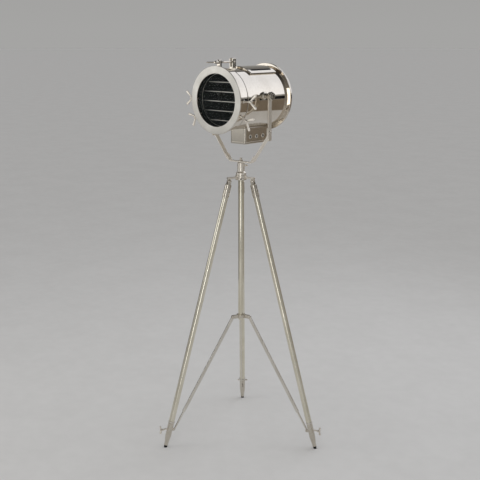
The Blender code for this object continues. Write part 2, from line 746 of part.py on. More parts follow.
def make_center_column(stand):
    top = HUB_BOTTOM + COLUMN_SOCKET_DEPTH - GAP
    bore = TUBE_RADIUS - TUBE_WALL
    profile = [(TUBE_RADIUS, top), (TUBE_RADIUS, COLUMN_BOTTOM), (bore, COLUMN_BOTTOM), (bore, top)]
    turned("center_column", profile, TUBE_STEPS, "tube", stand, ring=True)


def make_pan_thumbscrew(stand):
    axis = add_empty("pan_screw_axis", stand,
                     around(POST_RADIUS, PAN_SCREW_AZIMUTH, POST_TOP - PAN_SCREW_DROP),
                     (0.0, QUARTER_TURN, PAN_SCREW_AZIMUTH))
    sink = POST_RADIUS - SPIGOT_RADIUS - RUNNING_GAP
    hand_screw("pan_thumbscrew", PAN_SCREW, sink, axis, (0.0, 0.0, 0.0), (0.0, 0.0, 0.0),
               QUARTER_TURN)


def pin_profile(radius, head_radius, head, half_grip):
    """A pin with a head at both ends, centred on its own middle."""
    return [(0.0, half_grip + head),
            (head_radius, half_grip + head),
            (head_radius, half_grip),
            (radius, half_grip),
            (radius, -half_grip),
            (head_radius, -half_grip),
            (head_radius, -half_grip - head),
            (0.0, -half_grip - head)]


# Legs: everything below is placed from the leg's hinge, down the leg

def make_leg_hinge_bolt(stand, index):
    azimuth = leg_azimuth(index)
    grip = 0.5 * FORK_WIDTH + GAP
    profile = pin_profile(HINGE_BOLT_RADIUS, HINGE_BOLT_HEAD_RADIUS, HINGE_BOLT_HEAD_THICKNESS, grip)
    turned("leg_hinge_bolt_%d" % (index + 1), profile, BOLT_STEPS, "polished", stand,
           around(HINGE_CIRCLE_RADIUS, azimuth, HINGE_HEIGHT), (QUARTER_TURN, 0.0, azimuth))


def make_leg_socket(hinge, number):
    bottom = -SOCKET_TOP - SOCKET_LENGTH
    bore_top = bottom + SOCKET_BORE_DEPTH
    profile = [(0.0, -SOCKET_TOP),
               (SOCKET_RADIUS - SOCKET_CHAMFER, -SOCKET_TOP),
               (SOCKET_RADIUS, -SOCKET_TOP - SOCKET_CHAMFER),
               (SOCKET_RADIUS, bottom),
               (SLEEVE_RADIUS, bottom),
               (SLEEVE_RADIUS, bore_top),
               (0.0, bore_top)]
    socket = turned("leg_socket_%d" % number, profile, TUBE_STEPS, "cast", hinge)
    root = -SOCKET_TOP - FORK_BURY
    outline = ([(-FORK_EAR_RADIUS, root), (FORK_EAR_RADIUS, root)]
               + arc((0.0, 0.0), FORK_EAR_RADIUS, 0.0, pi))
    fork = plate("leg_fork_%d" % number, outline, FORK_WIDTH, None, socket, turn=SIDEWAYS)
    join(socket, fork)
    slot_bottom = -HINGE_LUG_RADIUS - FORK_SLOT_ROOM
    slot_top = FORK_EAR_RADIUS + OVERRUN
    slot = box("leg_slot_%d" % number,
               (2 * (FORK_EAR_RADIUS + OVERRUN), FORK_SLOT, slot_top - slot_bottom), None, socket,
               (0.0, 0.0, 0.5 * (slot_top + slot_bottom)))
    cut(socket, slot)
    hole = cylinder("leg_socket_hole_%d" % number, HINGE_BOLT_RADIUS + GAP, -FORK_WIDTH, FORK_WIDTH,
                    BOLT_STEPS, None, socket, turn=SIDEWAYS)
    cut(socket, hole)


def make_leg_tube(hinge, number):
    top = -SOCKET_TOP - SOCKET_LENGTH + SOCKET_BORE_DEPTH - GAP
    bottom = -LEG_LENGTH + COLLAR_HEIGHT + COLLAR_THICKNESS + GAP
    bore = TUBE_RADIUS - TUBE_WALL
    profile = [(TUBE_RADIUS, top), (TUBE_RADIUS, bottom), (bore, bottom), (bore, top)]
    turned("leg_tube_%d" % number, profile, TUBE_STEPS, "tube", hinge, ring=True)


def make_leg_shoe(hinge, number):
    """The shoe plugs into the tube and carries the brace's lug and the tee screw."""
    plug = TUBE_RADIUS - TUBE_WALL - RUNNING_GAP
    collar_top = COLLAR_HEIGHT + COLLAR_THICKNESS
    profile = [(0.0, collar_top + SHOE_PLUG_LENGTH),
               (plug, collar_top + SHOE_PLUG_LENGTH),
               (plug, collar_top),
               (COLLAR_RADIUS, collar_top),
               (COLLAR_RADIUS, COLLAR_HEIGHT),
               (SHOE_RADIUS, COLLAR_HEIGHT),
               (SHOE_RADIUS, SHOE_TAPER_HEIGHT),
               (SHOE_END_RADIUS, SHOE_END_HEIGHT),
               (0.0, SHOE_END_HEIGHT)]
    shoe = turned("leg_shoe_%d" % number, profile, TUBE_STEPS, "cast", hinge, (0.0, 0.0, -LEG_LENGTH))
    outline = ([(0.0, -FOOT_LUG_RADIUS), (0.0, FOOT_LUG_RADIUS)]
               + arc((-BRACE_FOOT_OFFSET, 0.0), FOOT_LUG_RADIUS, 0.5 * pi, 0.5 * pi + pi))
    lug = plate("foot_lug_%d" % number, outline, BRACE_THICKNESS, None, shoe,
                (0.0, -BRACE_SIDE, BRACE_FOOT_HEIGHT), SIDEWAYS)
    join(shoe, lug)
    lug_face = BRACE_SIDE + 0.5 * BRACE_THICKNESS
    rivet = cylinder("foot_rivet_%d" % number, RIVET_RADIUS, lug_face - RIVET_HEAD,
                     lug_face + RIVET_HEAD, BOLT_STEPS, None, shoe,
                     (-BRACE_FOOT_OFFSET, 0.0, BRACE_FOOT_HEIGHT), SIDEWAYS)
    join(shoe, rivet)
    hole = cylinder("tee_hole_%d" % number, TEE_SCREW.shank_radius + GAP,
                    SHOE_RADIUS - SCREW_SINK - GAP, SHOE_RADIUS + 2 * OVERRUN, BOLT_STEPS, None, shoe,
                    (0.0, 0.0, TEE_SCREW_HEIGHT), TEE_SCREW_TURN)
    cut(shoe, hole)


def make_foot_tip(hinge, number, floor):
    """A rubber tip, cut level where it stands on the floor."""
    profile = [(0.0, SHOE_END_HEIGHT - GAP),
               (SHOE_END_RADIUS, SHOE_END_HEIGHT - GAP),
               (TIP_RADIUS, SHOE_END_HEIGHT - TIP_ROLL),
               (TIP_FOOT_RADIUS, -OVERRUN),
               (0.0, -OVERRUN)]
    tip = turned("foot_tip_%d" % number, profile, TUBE_STEPS, "rubber", hinge, (0.0, 0.0, -LEG_LENGTH))
    cut(tip, floor)


def make_leg(stand, index, floor):
    number = index + 1
    azimuth = leg_azimuth(index)
    make_leg_hinge_bolt(stand, index)
    hinge = add_empty("leg_%d_hinge" % number, stand,
                      around(HINGE_CIRCLE_RADIUS, azimuth, HINGE_HEIGHT), (0.0, -LEG_LEAN, azimuth))
    make_leg_socket(hinge, number)
    make_leg_tube(hinge, number)
    make_leg_shoe(hinge, number)
    make_foot_tip(hinge, number, floor)
    axis = add_empty("tee_screw_%d_axis" % number, hinge,
                     (SHOE_RADIUS * cos(LEG_LEAN), 0.0,
                      TEE_SCREW_HEIGHT - LEG_LENGTH - SHOE_RADIUS * sin(LEG_LEAN)), TEE_SCREW_TURN)
    blade_turn = QUARTER_TURN if index == 0 else 0.0
    hand_screw("tee_screw_%d" % number, TEE_SCREW, SCREW_SINK, axis, (0.0, 0.0, 0.0),
               (0.0, 0.0, 0.0), blade_turn)


# Spreader and braces

def make_spreader(slide):
    half_height = 0.5 * SPREADER_RING_HEIGHT
    profile = [(SPREADER_RING_RADIUS, half_height), (SPREADER_RING_RADIUS, -half_height),
               (SLEEVE_RADIUS, -half_height), (SLEEVE_RADIUS, half_height)]
    spreader = turned("spreader", profile, TUBE_STEPS, "cast", slide, ring=True)
    inner = 0.5 * (SLEEVE_RADIUS + SPREADER_RING_RADIUS)
    length = SPREADER_PIN_CIRCLE - inner
    outline = ([(-length, SPREADER_CHEEK_RADIUS), (-length, -SPREADER_CHEEK_RADIUS)]
               + arc((0.0, 0.0), SPREADER_CHEEK_RADIUS, -QUARTER_TURN, QUARTER_TURN))
    width = BRACE_SLOT + 2 * SPREADER_CHEEK
    slot_start = SPREADER_PIN_CIRCLE - 0.5 * BRACE_WIDTH - FORK_SLOT_ROOM
    slot_end = SPREADER_PIN_CIRCLE + SPREADER_CHEEK_RADIUS + OVERRUN
    for index in range(LEG_COUNT):
        azimuth = leg_azimuth(index)
        number = index + 1
        mount = add_empty("spreader_arm_%d" % number, slide, turn=(0.0, 0.0, azimuth))
        arm = plate("spreader_cheeks_%d" % number, outline, width, None, mount,
                    (SPREADER_PIN_CIRCLE, BRACE_SIDE, 0.0), SIDEWAYS)
        join(spreader, arm)
        slot = box("spreader_slot_%d" % number,
                   (slot_end - slot_start, BRACE_SLOT, 2 * (SPREADER_CHEEK_RADIUS + OVERRUN)), None,
                   mount, (0.5 * (slot_start + slot_end), BRACE_SIDE, 0.0))
        cut(spreader, slot)
        hole = cylinder("spreader_hole_%d" % number, BRACE_PIN_RADIUS + GAP, -width, width,
                        BOLT_STEPS, None, mount, (SPREADER_PIN_CIRCLE, BRACE_SIDE, 0.0), SIDEWAYS)
        cut(spreader, hole)
        pin = pin_profile(BRACE_PIN_RADIUS, BRACE_PIN_HEAD_RADIUS, BRACE_PIN_HEAD_THICKNESS,
                          0.5 * width + GAP)
        turned("spreader_pin_%d" % number, pin, BOLT_STEPS, "polished", mount,
               (SPREADER_PIN_CIRCLE, BRACE_SIDE, 0.0), SIDEWAYS)


def make_brace(slide, index):
    """A flat bar from the spreader to the leg's lug: its narrow lower end has a rivet head."""
    number = index + 1
    azimuth = leg_azimuth(index)
    pivot = add_empty("brace_%d_pivot" % number, slide, around(SPREADER_PIN_CIRCLE, azimuth),
                      (0.0, -BRACE_LEAN, azimuth))
    radius = 0.5 * BRACE_WIDTH
    strap_radius = 0.5 * BRACE_STRAP_WIDTH
    strap_top = BRACE_STRAP_LENGTH - BRACE_LENGTH
    shoulder_top = strap_top + BRACE_STRAP_SHOULDER
    outline = (arc((0.0, 0.0), radius, 0.0, pi)
               + [(-radius, shoulder_top), (-strap_radius, strap_top)]
               + arc((0.0, -BRACE_LENGTH), strap_radius, pi, FULL_TURN)
               + [(strap_radius, strap_top), (radius, shoulder_top)])
    brace = plate("brace_%d" % number, outline, BRACE_THICKNESS, "tube", pivot,
                  (0.0, BRACE_SIDE, 0.0), SIDEWAYS)
    hole = cylinder("brace_hole_%d" % number, BRACE_PIN_RADIUS + GAP, -BRACE_THICKNESS,
                    BRACE_THICKNESS, BOLT_STEPS, None, pivot, (0.0, BRACE_SIDE, 0.0), SIDEWAYS)
    cut(brace, hole)
    face = BRACE_SIDE + 0.5 * BRACE_THICKNESS
    rivet = cylinder("brace_rivet_%d" % number, RIVET_RADIUS, -face - RIVET_HEAD, -face + RIVET_HEAD,
                     BOLT_STEPS, None, pivot, (0.0, 0.0, -BRACE_LENGTH), SIDEWAYS)
    join(brace, rivet)


# Yoke

def make_yoke_base(pan):
    run = YOKE_BASE_LEG * cos(YOKE_SLANT)
    rise = YOKE_BASE_LEG * sin(YOKE_SLANT)
    half = YOKE_BASE_HALF_LENGTH
    corners = [(-half - run, rise), (-half, 0.0), (half, 0.0), (half + run, rise)]
    outline = strip_outline(rounded_path(corners, BAR_BEND_RADIUS), BAR_THICKNESS)
    base = plate("yoke_base", outline, BAR_WIDTH, "polished", pan, (0.0, 0.0, YOKE_BASE_LEVEL),
                 SIDEWAYS)
    hole = cylinder("yoke_base_hole", SPIGOT_STUD_RADIUS + GAP, YOKE_BASE_LEVEL - BAR_THICKNESS,
                    YOKE_BASE_LEVEL + BAR_THICKNESS, BOLT_STEPS, None, pan)
    cut(base, hole)


def yoke_arm_path():
    """The middle line of the right arm: up the slant outside the base bar, then upright."""
    offset = BAR_THICKNESS + GAP
    start_x = YOKE_BASE_HALF_LENGTH + offset * sin(YOKE_SLANT) + YOKE_ARM_START * cos(YOKE_SLANT)
    start_z = YOKE_BASE_LEVEL - offset * cos(YOKE_SLANT) + YOKE_ARM_START * sin(YOKE_SLANT)
    bend_z = start_z + (ARM_UPRIGHT - start_x) * tan(YOKE_SLANT)
    return [(start_x, start_z), (ARM_UPRIGHT, bend_z), (ARM_UPRIGHT, bend_z + YOKE_ARM_TOP_LENGTH)]


def make_yoke_side(pan, name, side):
    """One slanted arm, the upright bar bolted to it, and the bolt. The side is 1 or -1."""
    path = yoke_arm_path()
    bolt_level = path[1][1] + YOKE_BOLT_RISE
    bar_bottom = bolt_level - SIDE_BAR_FOOT
    mirrored = [(side * across, along) for across, along in rounded_path(path, BAR_BEND_RADIUS)]
    arm = plate("yoke_arm_" + name, strip_outline(mirrored, BAR_THICKNESS), BAR_WIDTH, "polished",
                pan, turn=SIDEWAYS)
    outward = (QUARTER_TURN, 0.0, side * QUARTER_TURN)
    end_radius = 0.5 * BAR_WIDTH
    outline = (arc((0.0, SIDE_BAR_TOP - end_radius), end_radius, 0.0, pi)
               + [(-end_radius, bar_bottom), (end_radius, bar_bottom)])
    middle = (side * SIDE_BAR_HALF_SPAN, 0.0, 0.0)
    bar = plate("yoke_side_bar_" + name, outline, BAR_THICKNESS, "polished", pan, middle, outward)
    along_x = (0.0, side * QUARTER_TURN, 0.0)
    bolt_hole = cylinder("yoke_bolt_hole_" + name, YOKE_BOLT_RADIUS + GAP,
                         ARM_UPRIGHT - BAR_THICKNESS, SIDE_BAR_OUTER + OVERRUN, BOLT_STEPS, None, pan,
                         (0.0, 0.0, bolt_level), along_x)
    cut(arm, bolt_hole)
    cut(bar, bolt_hole)
    stud_hole = cylinder("trunnion_hole_" + name, TRUNNION_STUD_RADIUS + GAP,
                         SIDE_BAR_INNER - OVERRUN, SIDE_BAR_OUTER + OVERRUN, BOLT_STEPS, None, pan,
                         (0.0, 0.0, TILT_HEIGHT), along_x)
    cut(bar, stud_hole)
    inner_face = ARM_UPRIGHT - 0.5 * BAR_THICKNESS
    middle_x = 0.5 * (inner_face + SIDE_BAR_OUTER)
    grip = 0.5 * (SIDE_BAR_OUTER - inner_face) + GAP
    profile = pin_profile(YOKE_BOLT_RADIUS, YOKE_BOLT_HEAD_RADIUS, YOKE_BOLT_HEAD, grip)
    turned("yoke_bolt_" + name, profile, BOLT_STEPS, "polished", pan,
           (side * middle_x, 0.0, bolt_level), along_x)


def make_yoke_spigot(pan):
    """The bolt that the yoke turns on, with its shoulder on the post and its nut above the bar."""
    bar_top = YOKE_BASE_BOTTOM + BAR_THICKNESS
    profile = [(0.0, bar_top + SPIGOT_STUD_RISE),
               (SPIGOT_STUD_RADIUS, bar_top + SPIGOT_STUD_RISE),
               (SPIGOT_STUD_RADIUS, YOKE_BASE_BOTTOM - GAP),
               (SPIGOT_SHOULDER_RADIUS, YOKE_BASE_BOTTOM - GAP),
               (SPIGOT_SHOULDER_RADIUS, POST_TOP + GAP),
               (SPIGOT_RADIUS, POST_TOP + GAP),
               (SPIGOT_RADIUS, POST_TOP - SPIGOT_DEPTH),
               (0.0, POST_TOP - SPIGOT_DEPTH)]
    turned("yoke_spigot", profile, BOLT_STEPS, "polished", pan)
    nut_bottom = bar_top + GAP
    nut = [(SPIGOT_NUT_RADIUS, nut_bottom + SPIGOT_NUT_HEIGHT),
           (SPIGOT_NUT_RADIUS, nut_bottom),
           (SPIGOT_STUD_RADIUS + GAP, nut_bottom),
           (SPIGOT_STUD_RADIUS + GAP, nut_bottom + SPIGOT_NUT_HEIGHT)]
    turned("spigot_nut", nut, 2 * NUT_SIDES, "polished", pan, ring=True)


# Barrel and what closes it. Their frame has +Z forwards along the barrel and +Y up

def barrel_cutter(name, barrel, low, high):
    return cylinder(name, BARREL_RADIUS + GAP, low, high, DRUM_STEPS, None, barrel)


def make_barrel_shell(barrel):
    bead = BARREL_RADIUS + BEAD_PROUD
    profile = [(bead, BARREL_FRONT),
               (bead, BARREL_FRONT - BEAD_WIDTH),
               (BARREL_RADIUS, BARREL_FRONT - BEAD_WIDTH - BEAD_RUNOUT),
               (BARREL_RADIUS, RIM_FRONT),
               (RIM_RADIUS, RIM_FRONT - RIM_RUNOUT),
               (RIM_RADIUS, RIM_BACK),
               (BARREL_BORE, RIM_BACK),
               (BARREL_BORE, BARREL_FRONT)]
    shell = turned("barrel_shell", profile, DRUM_STEPS, "polished", barrel, ring=True)
    length = VENT_FRONT - VENT_BACK - 2 * VENT_HOLE_MARGIN
    half_width = BARREL_RADIUS * sin(VENT_HALF_ANGLE) - VENT_HOLE_MARGIN
    vent_hole = box("vent_hole", (2 * half_width, BARREL_RADIUS, length), None, barrel,
                    (0.0, BARREL_RADIUS, 0.5 * (VENT_FRONT + VENT_BACK)))
    cut(shell, vent_hole)


def make_rear_cover(barrel):
    """A shallow dome closing the back, with the rear half of the double rim."""
    back = COVER_FACE - REAR_RIM_THICKNESS

    def dome(radius):
        share = (radius - COVER_FLAT_RADIUS) / (COVER_DOME_RADIUS - COVER_FLAT_RADIUS)
        return back - COVER_DOME_DEPTH * (1 - share * share)

    radii = [COVER_FLAT_RADIUS + (COVER_DOME_RADIUS - COVER_FLAT_RADIUS) * index / COVER_DOME_STEPS
             for index in range(COVER_DOME_STEPS + 1)]
    inside = [(radius, dome(radius) + COVER_WALL) for radius in radii]
    outside = [(radius, dome(radius)) for radius in radii[::-1]]
    seat = COVER_DOME_RADIUS - COVER_WALL
    profile = ([(0.0, inside[0][1])] + inside[:-1]
               + [(seat, back + COVER_WALL), (seat, COVER_FACE), (RIM_RADIUS, COVER_FACE),
                  (RIM_RADIUS, back)]
               + outside + [(0.0, outside[-1][1])])
    turned("rear_cover", profile, DRUM_STEPS, "polished", barrel)


def make_front_ring(barrel):
    """The flat ring and its skirt, with the latch lug and a boss for each wing screw."""
    back = BARREL_FRONT + GAP
    ring_back = RING_FACE - RING_THICKNESS
    profile = [(RING_RADIUS, RING_FACE),
               (RING_RADIUS, ring_back),
               (RING_SKIRT_RADIUS, ring_back - RING_RUNOUT),
               (RING_SKIRT_RADIUS, back),
               (SKIRT_BORE, back),
               (SKIRT_BORE, ring_back),
               (RING_OPENING_RADIUS, ring_back),
               (RING_OPENING_RADIUS, RING_FACE)]
    ring = turned("front_ring", profile, DRUM_STEPS, "satin", barrel, ring=True)
    lug_bottom = RING_SKIRT_RADIUS - 0.5 * RING_SKIRT_WALL
    lug = box("latch_lug", (LATCH_LUG_WIDTH, LATCH_LUG_TOP - lug_bottom, LATCH_LUG_LENGTH), None,
              barrel, (0.0, 0.5 * (LATCH_LUG_TOP + lug_bottom), LATCH_LUG_BACK + 0.5 * LATCH_LUG_LENGTH))
    join(ring, lug)
    slot_width = 2 * (LATCH_ROD_RADIUS + GAP)
    slot_bottom = LATCH_RADIUS - LATCH_ROD_RADIUS - GAP
    slot_top = LATCH_LUG_TOP + OVERRUN
    slot = box("latch_lug_slot", (slot_width, slot_top - slot_bottom, LATCH_LUG_LENGTH + 2 * OVERRUN),
               None, barrel,
               (0.0, 0.5 * (slot_top + slot_bottom), LATCH_LUG_BACK + 0.5 * LATCH_LUG_LENGTH))
    cut(ring, slot)
    for index, angle in enumerate(WING_SCREW_ANGLES):
        place = (0.0, 0.0, WING_SCREW_STATION)
        turn = (0.0, QUARTER_TURN, angle)
        boss = cylinder("wing_boss_%d" % (index + 1), WING_SCREW_BOSS_RADIUS,
                        RING_SKIRT_RADIUS - 0.5 * RING_SKIRT_WALL,
                        RING_SKIRT_RADIUS + WING_SCREW_BOSS_HEIGHT, BOLT_STEPS, None, barrel, place, turn)
        join(ring, boss)
        hole = cylinder("wing_hole_%d" % (index + 1), WING_SCREW.shank_radius + GAP,
                        0.5 * RING_SKIRT_RADIUS, RING_SKIRT_RADIUS + WING_SCREW_BOSS_HEIGHT + OVERRUN,
                        BOLT_STEPS, None, barrel, place, turn)
        cut(ring, hole)


def make_lens_glass(barrel):
    front = RING_FACE - RING_THICKNESS - GAP
    radius = SKIRT_BORE - GAP
    cylinder("lens_glass", radius, front - GLASS_THICKNESS, front, DRUM_STEPS, "glass", barrel)


def make_louvre(barrel):
    """Five tilted blades and a tie rod in a ring, which a flange holds in the skirt."""
    inner = LOUVRE_RING_RADIUS - LOUVRE_RING_WALL
    flange_back = LOUVRE_FLANGE_FRONT - LOUVRE_FLANGE_THICKNESS
    profile = [(LOUVRE_RING_RADIUS, LOUVRE_FRONT),
               (LOUVRE_RING_RADIUS, LOUVRE_FLANGE_FRONT),
               (LOUVRE_FLANGE_RADIUS, LOUVRE_FLANGE_FRONT),
               (LOUVRE_FLANGE_RADIUS, flange_back),
               (LOUVRE_RING_RADIUS, flange_back),
               (LOUVRE_RING_RADIUS, LOUVRE_BACK),
               (inner, LOUVRE_BACK),
               (inner, LOUVRE_FRONT)]
    louvre = turned("louvre", profile, DRUM_STEPS, "black", barrel, ring=True)
    middle = LOUVRE_BLADE_FRONT - 0.5 * LOUVRE_BLADE_DEPTH * cos(LOUVRE_BLADE_TILT)
    reach = LOUVRE_RING_RADIUS - LOUVRE_BURY_SHARE * LOUVRE_RING_WALL
    for index in range(LOUVRE_BLADES):
        level = (index - 0.5 * (LOUVRE_BLADES - 1)) * LOUVRE_PITCH
        blade = box("louvre_blade_%d" % (index + 1),
                    (2 * reach, LOUVRE_BLADE_THICKNESS, LOUVRE_BLADE_DEPTH), None, barrel,
                    (0.0, level, middle), (LOUVRE_BLADE_TILT, 0.0, 0.0))
        rounding = cylinder("louvre_rounding_%d" % (index + 1), reach, LOUVRE_BACK, LOUVRE_FRONT,
                            DRUM_STEPS, None, barrel)
        keep_inside(blade, rounding)
        join(louvre, blade)
    rod_reach = 0.5 * (LOUVRE_BLADES - 1) * LOUVRE_PITCH + 0.5 * LOUVRE_BLADE_DEPTH * sin(
        LOUVRE_BLADE_TILT)
    rod = cylinder("louvre_rod", LOUVRE_ROD_RADIUS, -rod_reach, rod_reach, LOUVRE_ROD_STEPS, None,
                   barrel, (0.0, 0.0, LOUVRE_BLADE_FRONT), SIDEWAYS)
    join(louvre, rod)


def reflector_curve(wall):
    """A parabola from the neck to the mouth, moved along the axis by the wall."""
    points = []
    for index in range(REFLECTOR_PROFILE_STEPS + 1):
        share = index / REFLECTOR_PROFILE_STEPS
        radius = REFLECTOR_NECK_RADIUS + (REFLECTOR_RADIUS - REFLECTOR_NECK_RADIUS) * share
        depth = REFLECTOR_DEPTH * (radius * radius - REFLECTOR_NECK_RADIUS * REFLECTOR_NECK_RADIUS) / (
            REFLECTOR_RADIUS * REFLECTOR_RADIUS - REFLECTOR_NECK_RADIUS * REFLECTOR_NECK_RADIUS)
        points.append((radius, REFLECTOR_MOUTH - REFLECTOR_DEPTH + depth - wall))
    return points


def make_reflector(barrel):
    edge = BARREL_BORE - RUNNING_GAP
    inside = reflector_curve(0.0)
    outside = reflector_curve(REFLECTOR_WALL)
    profile = (inside + [(edge, REFLECTOR_MOUTH), (edge, REFLECTOR_MOUTH - REFLECTOR_WALL)]
               + outside[::-1])
    turned("reflector", profile, BOWL_STEPS, "polished", barrel, ring=True)


def make_lamp(barrel):
    """The holder stands on the rear cover and reaches through the reflector's neck."""
    back = COVER_FACE - REAR_RIM_THICKNESS - COVER_DOME_DEPTH + COVER_WALL + GAP
    neck = REFLECTOR_MOUTH - REFLECTOR_DEPTH
    face = neck + HOLDER_REACH
    holder = [(0.0, face),
              (HOLDER_RADIUS, face),
              (HOLDER_RADIUS, back + HOLDER_BASE_THICKNESS),
              (HOLDER_BASE_RADIUS, back + HOLDER_BASE_THICKNESS),
              (HOLDER_BASE_RADIUS, back),
              (0.0, back)]
    turned("lamp_holder", holder, TUBE_STEPS, "ceramic", barrel)
    bottom = face + GAP
    neck_top = bottom + BULB_LENGTH - 2 * BULB_RADIUS
    swell = atan2(neck_top - (bottom + BULB_LENGTH - BULB_RADIUS), BULB_NECK_RADIUS)
    centre = (0.0, bottom + BULB_LENGTH - BULB_RADIUS)
    globe = arc(centre, BULB_RADIUS, QUARTER_TURN, swell, BULB_PROFILE_STEPS)
    profile = [(0.0, globe[0][1])] + globe[1:] + [(BULB_NECK_RADIUS, bottom), (0.0, bottom)]
    turned("lamp_bulb", profile, TUBE_STEPS, "opal", barrel)


def arc_block(name, inner, outer, low, high, half_angle, finish, barrel):
    """A block bent round the barrel's top: a flat face swept about the axis."""
    bm = bmesh.new()
    corners = [(inner, low), (outer, low), (outer, high), (inner, high)]
    start = QUARTER_TURN - half_angle
    verts = [bm.verts.new((radius * cos(start), radius * sin(start), along))
             for radius, along in corners]
    face = bm.faces.new(verts)
    bmesh.ops.spin(bm, geom=[face] + list(face.edges) + verts, cent=(0.0, 0.0, 0.0),
                   axis=(0.0, 0.0, 1.0), angle=2 * half_angle, steps=VENT_ARC_STEPS)
    bmesh.ops.remove_doubles(bm, verts=bm.verts, dist=MERGE_DISTANCE)
    bmesh.ops.recalc_face_normals(bm, faces=bm.faces)
    return add_object(name, mesh_from(bm, name), finish, barrel, (0.0, 0.0, 0.0), (0.0, 0.0, 0.0))


def make_vent_cover(barrel):
    top = BARREL_RADIUS + VENT_HEIGHT
    cover = arc_block("vent_cover", BARREL_BORE, top, VENT_BACK, VENT_FRONT, VENT_HALF_ANGLE,
                      "polished", barrel)
    wall_angle = VENT_WALL / BARREL_RADIUS
    hollow = arc_block("vent_hollow", BARREL_BORE - OVERRUN, top - VENT_WALL, VENT_BACK + VENT_WALL,
                       VENT_FRONT - VENT_WALL, VENT_HALF_ANGLE - wall_angle, None, barrel)
    cut(cover, hollow)
    cut(cover, barrel_cutter("vent_seat", barrel, VENT_BACK - OVERRUN, VENT_FRONT + OVERRUN))


def make_housing(barrel):
    """A box with rounded corners under the barrel, open at the top where the barrel closes it."""
    length = HOUSING_FRONT - HOUSING_BACK
    middle = 0.5 * (HOUSING_FRONT + HOUSING_BACK)
    top = -0.5 * BARREL_RADIUS
    height = HOUSING_DROP + top
    level = top - 0.5 * height
    housing = box("ballast_housing", (2 * HOUSING_HALF_WIDTH, height, length), "cast", barrel,
                  (0.0, level, middle))
    bevel = housing.modifiers.new("round_corners", "BEVEL")
    bevel.width = HOUSING_CORNER
    bevel.segments = HOUSING_CORNER_STEPS
    bevel.limit_method = "ANGLE"
    hollow = box("housing_hollow",
                 (2 * (HOUSING_HALF_WIDTH - HOUSING_WALL), height, length - 2 * HOUSING_WALL), None,
                 barrel, (0.0, level + HOUSING_WALL, middle))
    inner_bevel = hollow.modifiers.new("round_corners", "BEVEL")
    inner_bevel.width = HOUSING_CORNER - HOUSING_WALL
    inner_bevel.segments = HOUSING_CORNER_STEPS
    inner_bevel.limit_method = "ANGLE"
    reach = HOUSING_HALF_WIDTH + EYELET_PROUD
    hole_level = HOUSING_HOLE_RISE - HOUSING_DROP
    along_x = (0.0, QUARTER_TURN, 0.0)
    for index in range(HOUSING_HOLES):
        place = (0.0, hole_level, HOUSING_FRONT - HOUSING_HOLE_FIRST - index * HOUSING_HOLE_PITCH)
        join(housing, cylinder("eyelet_%d" % (index + 1), EYELET_RADIUS, -reach, reach, BOLT_STEPS,
                               None, barrel, place, along_x))
    cut(housing, hollow)
    for index in range(HOUSING_HOLES):
        place = (0.0, hole_level, HOUSING_FRONT - HOUSING_HOLE_FIRST - index * HOUSING_HOLE_PITCH)
        cut(housing, cylinder("eyelet_hole_%d" % (index + 1), HOUSING_HOLE_RADIUS, -reach - OVERRUN,
                              reach + OVERRUN, BOLT_STEPS, None, barrel, place, along_x))
    cut(housing, barrel_cutter("housing_seat", barrel, HOUSING_BACK - OVERRUN,
                               HOUSING_FRONT + OVERRUN))


def make_cable_gland(barrel):
    """The cable's way in, on the back of the housing."""
    flange = GLAND_FLANGE_THICKNESS
    bore_end = 0.5 * GLAND_LENGTH
    profile = [(GLAND_BORE_RADIUS, GLAND_LENGTH),
               (GLAND_RADIUS, GLAND_LENGTH),
               (GLAND_RADIUS, flange),
               (GLAND_FLANGE_RADIUS, flange),
               (GLAND_FLANGE_RADIUS, 0.0),
               (0.0, 0.0),
               (0.0, bore_end),
               (GLAND_BORE_RADIUS, bore_end)]
    turned("cable_gland", profile, BOLT_STEPS, "black", barrel,
           (0.0, GLAND_RISE - HOUSING_DROP, HOUSING_BACK - GAP), (pi, 0.0, 0.0), ring=True)


# Latch: a swing bolt that drops into the front ring's slotted lug

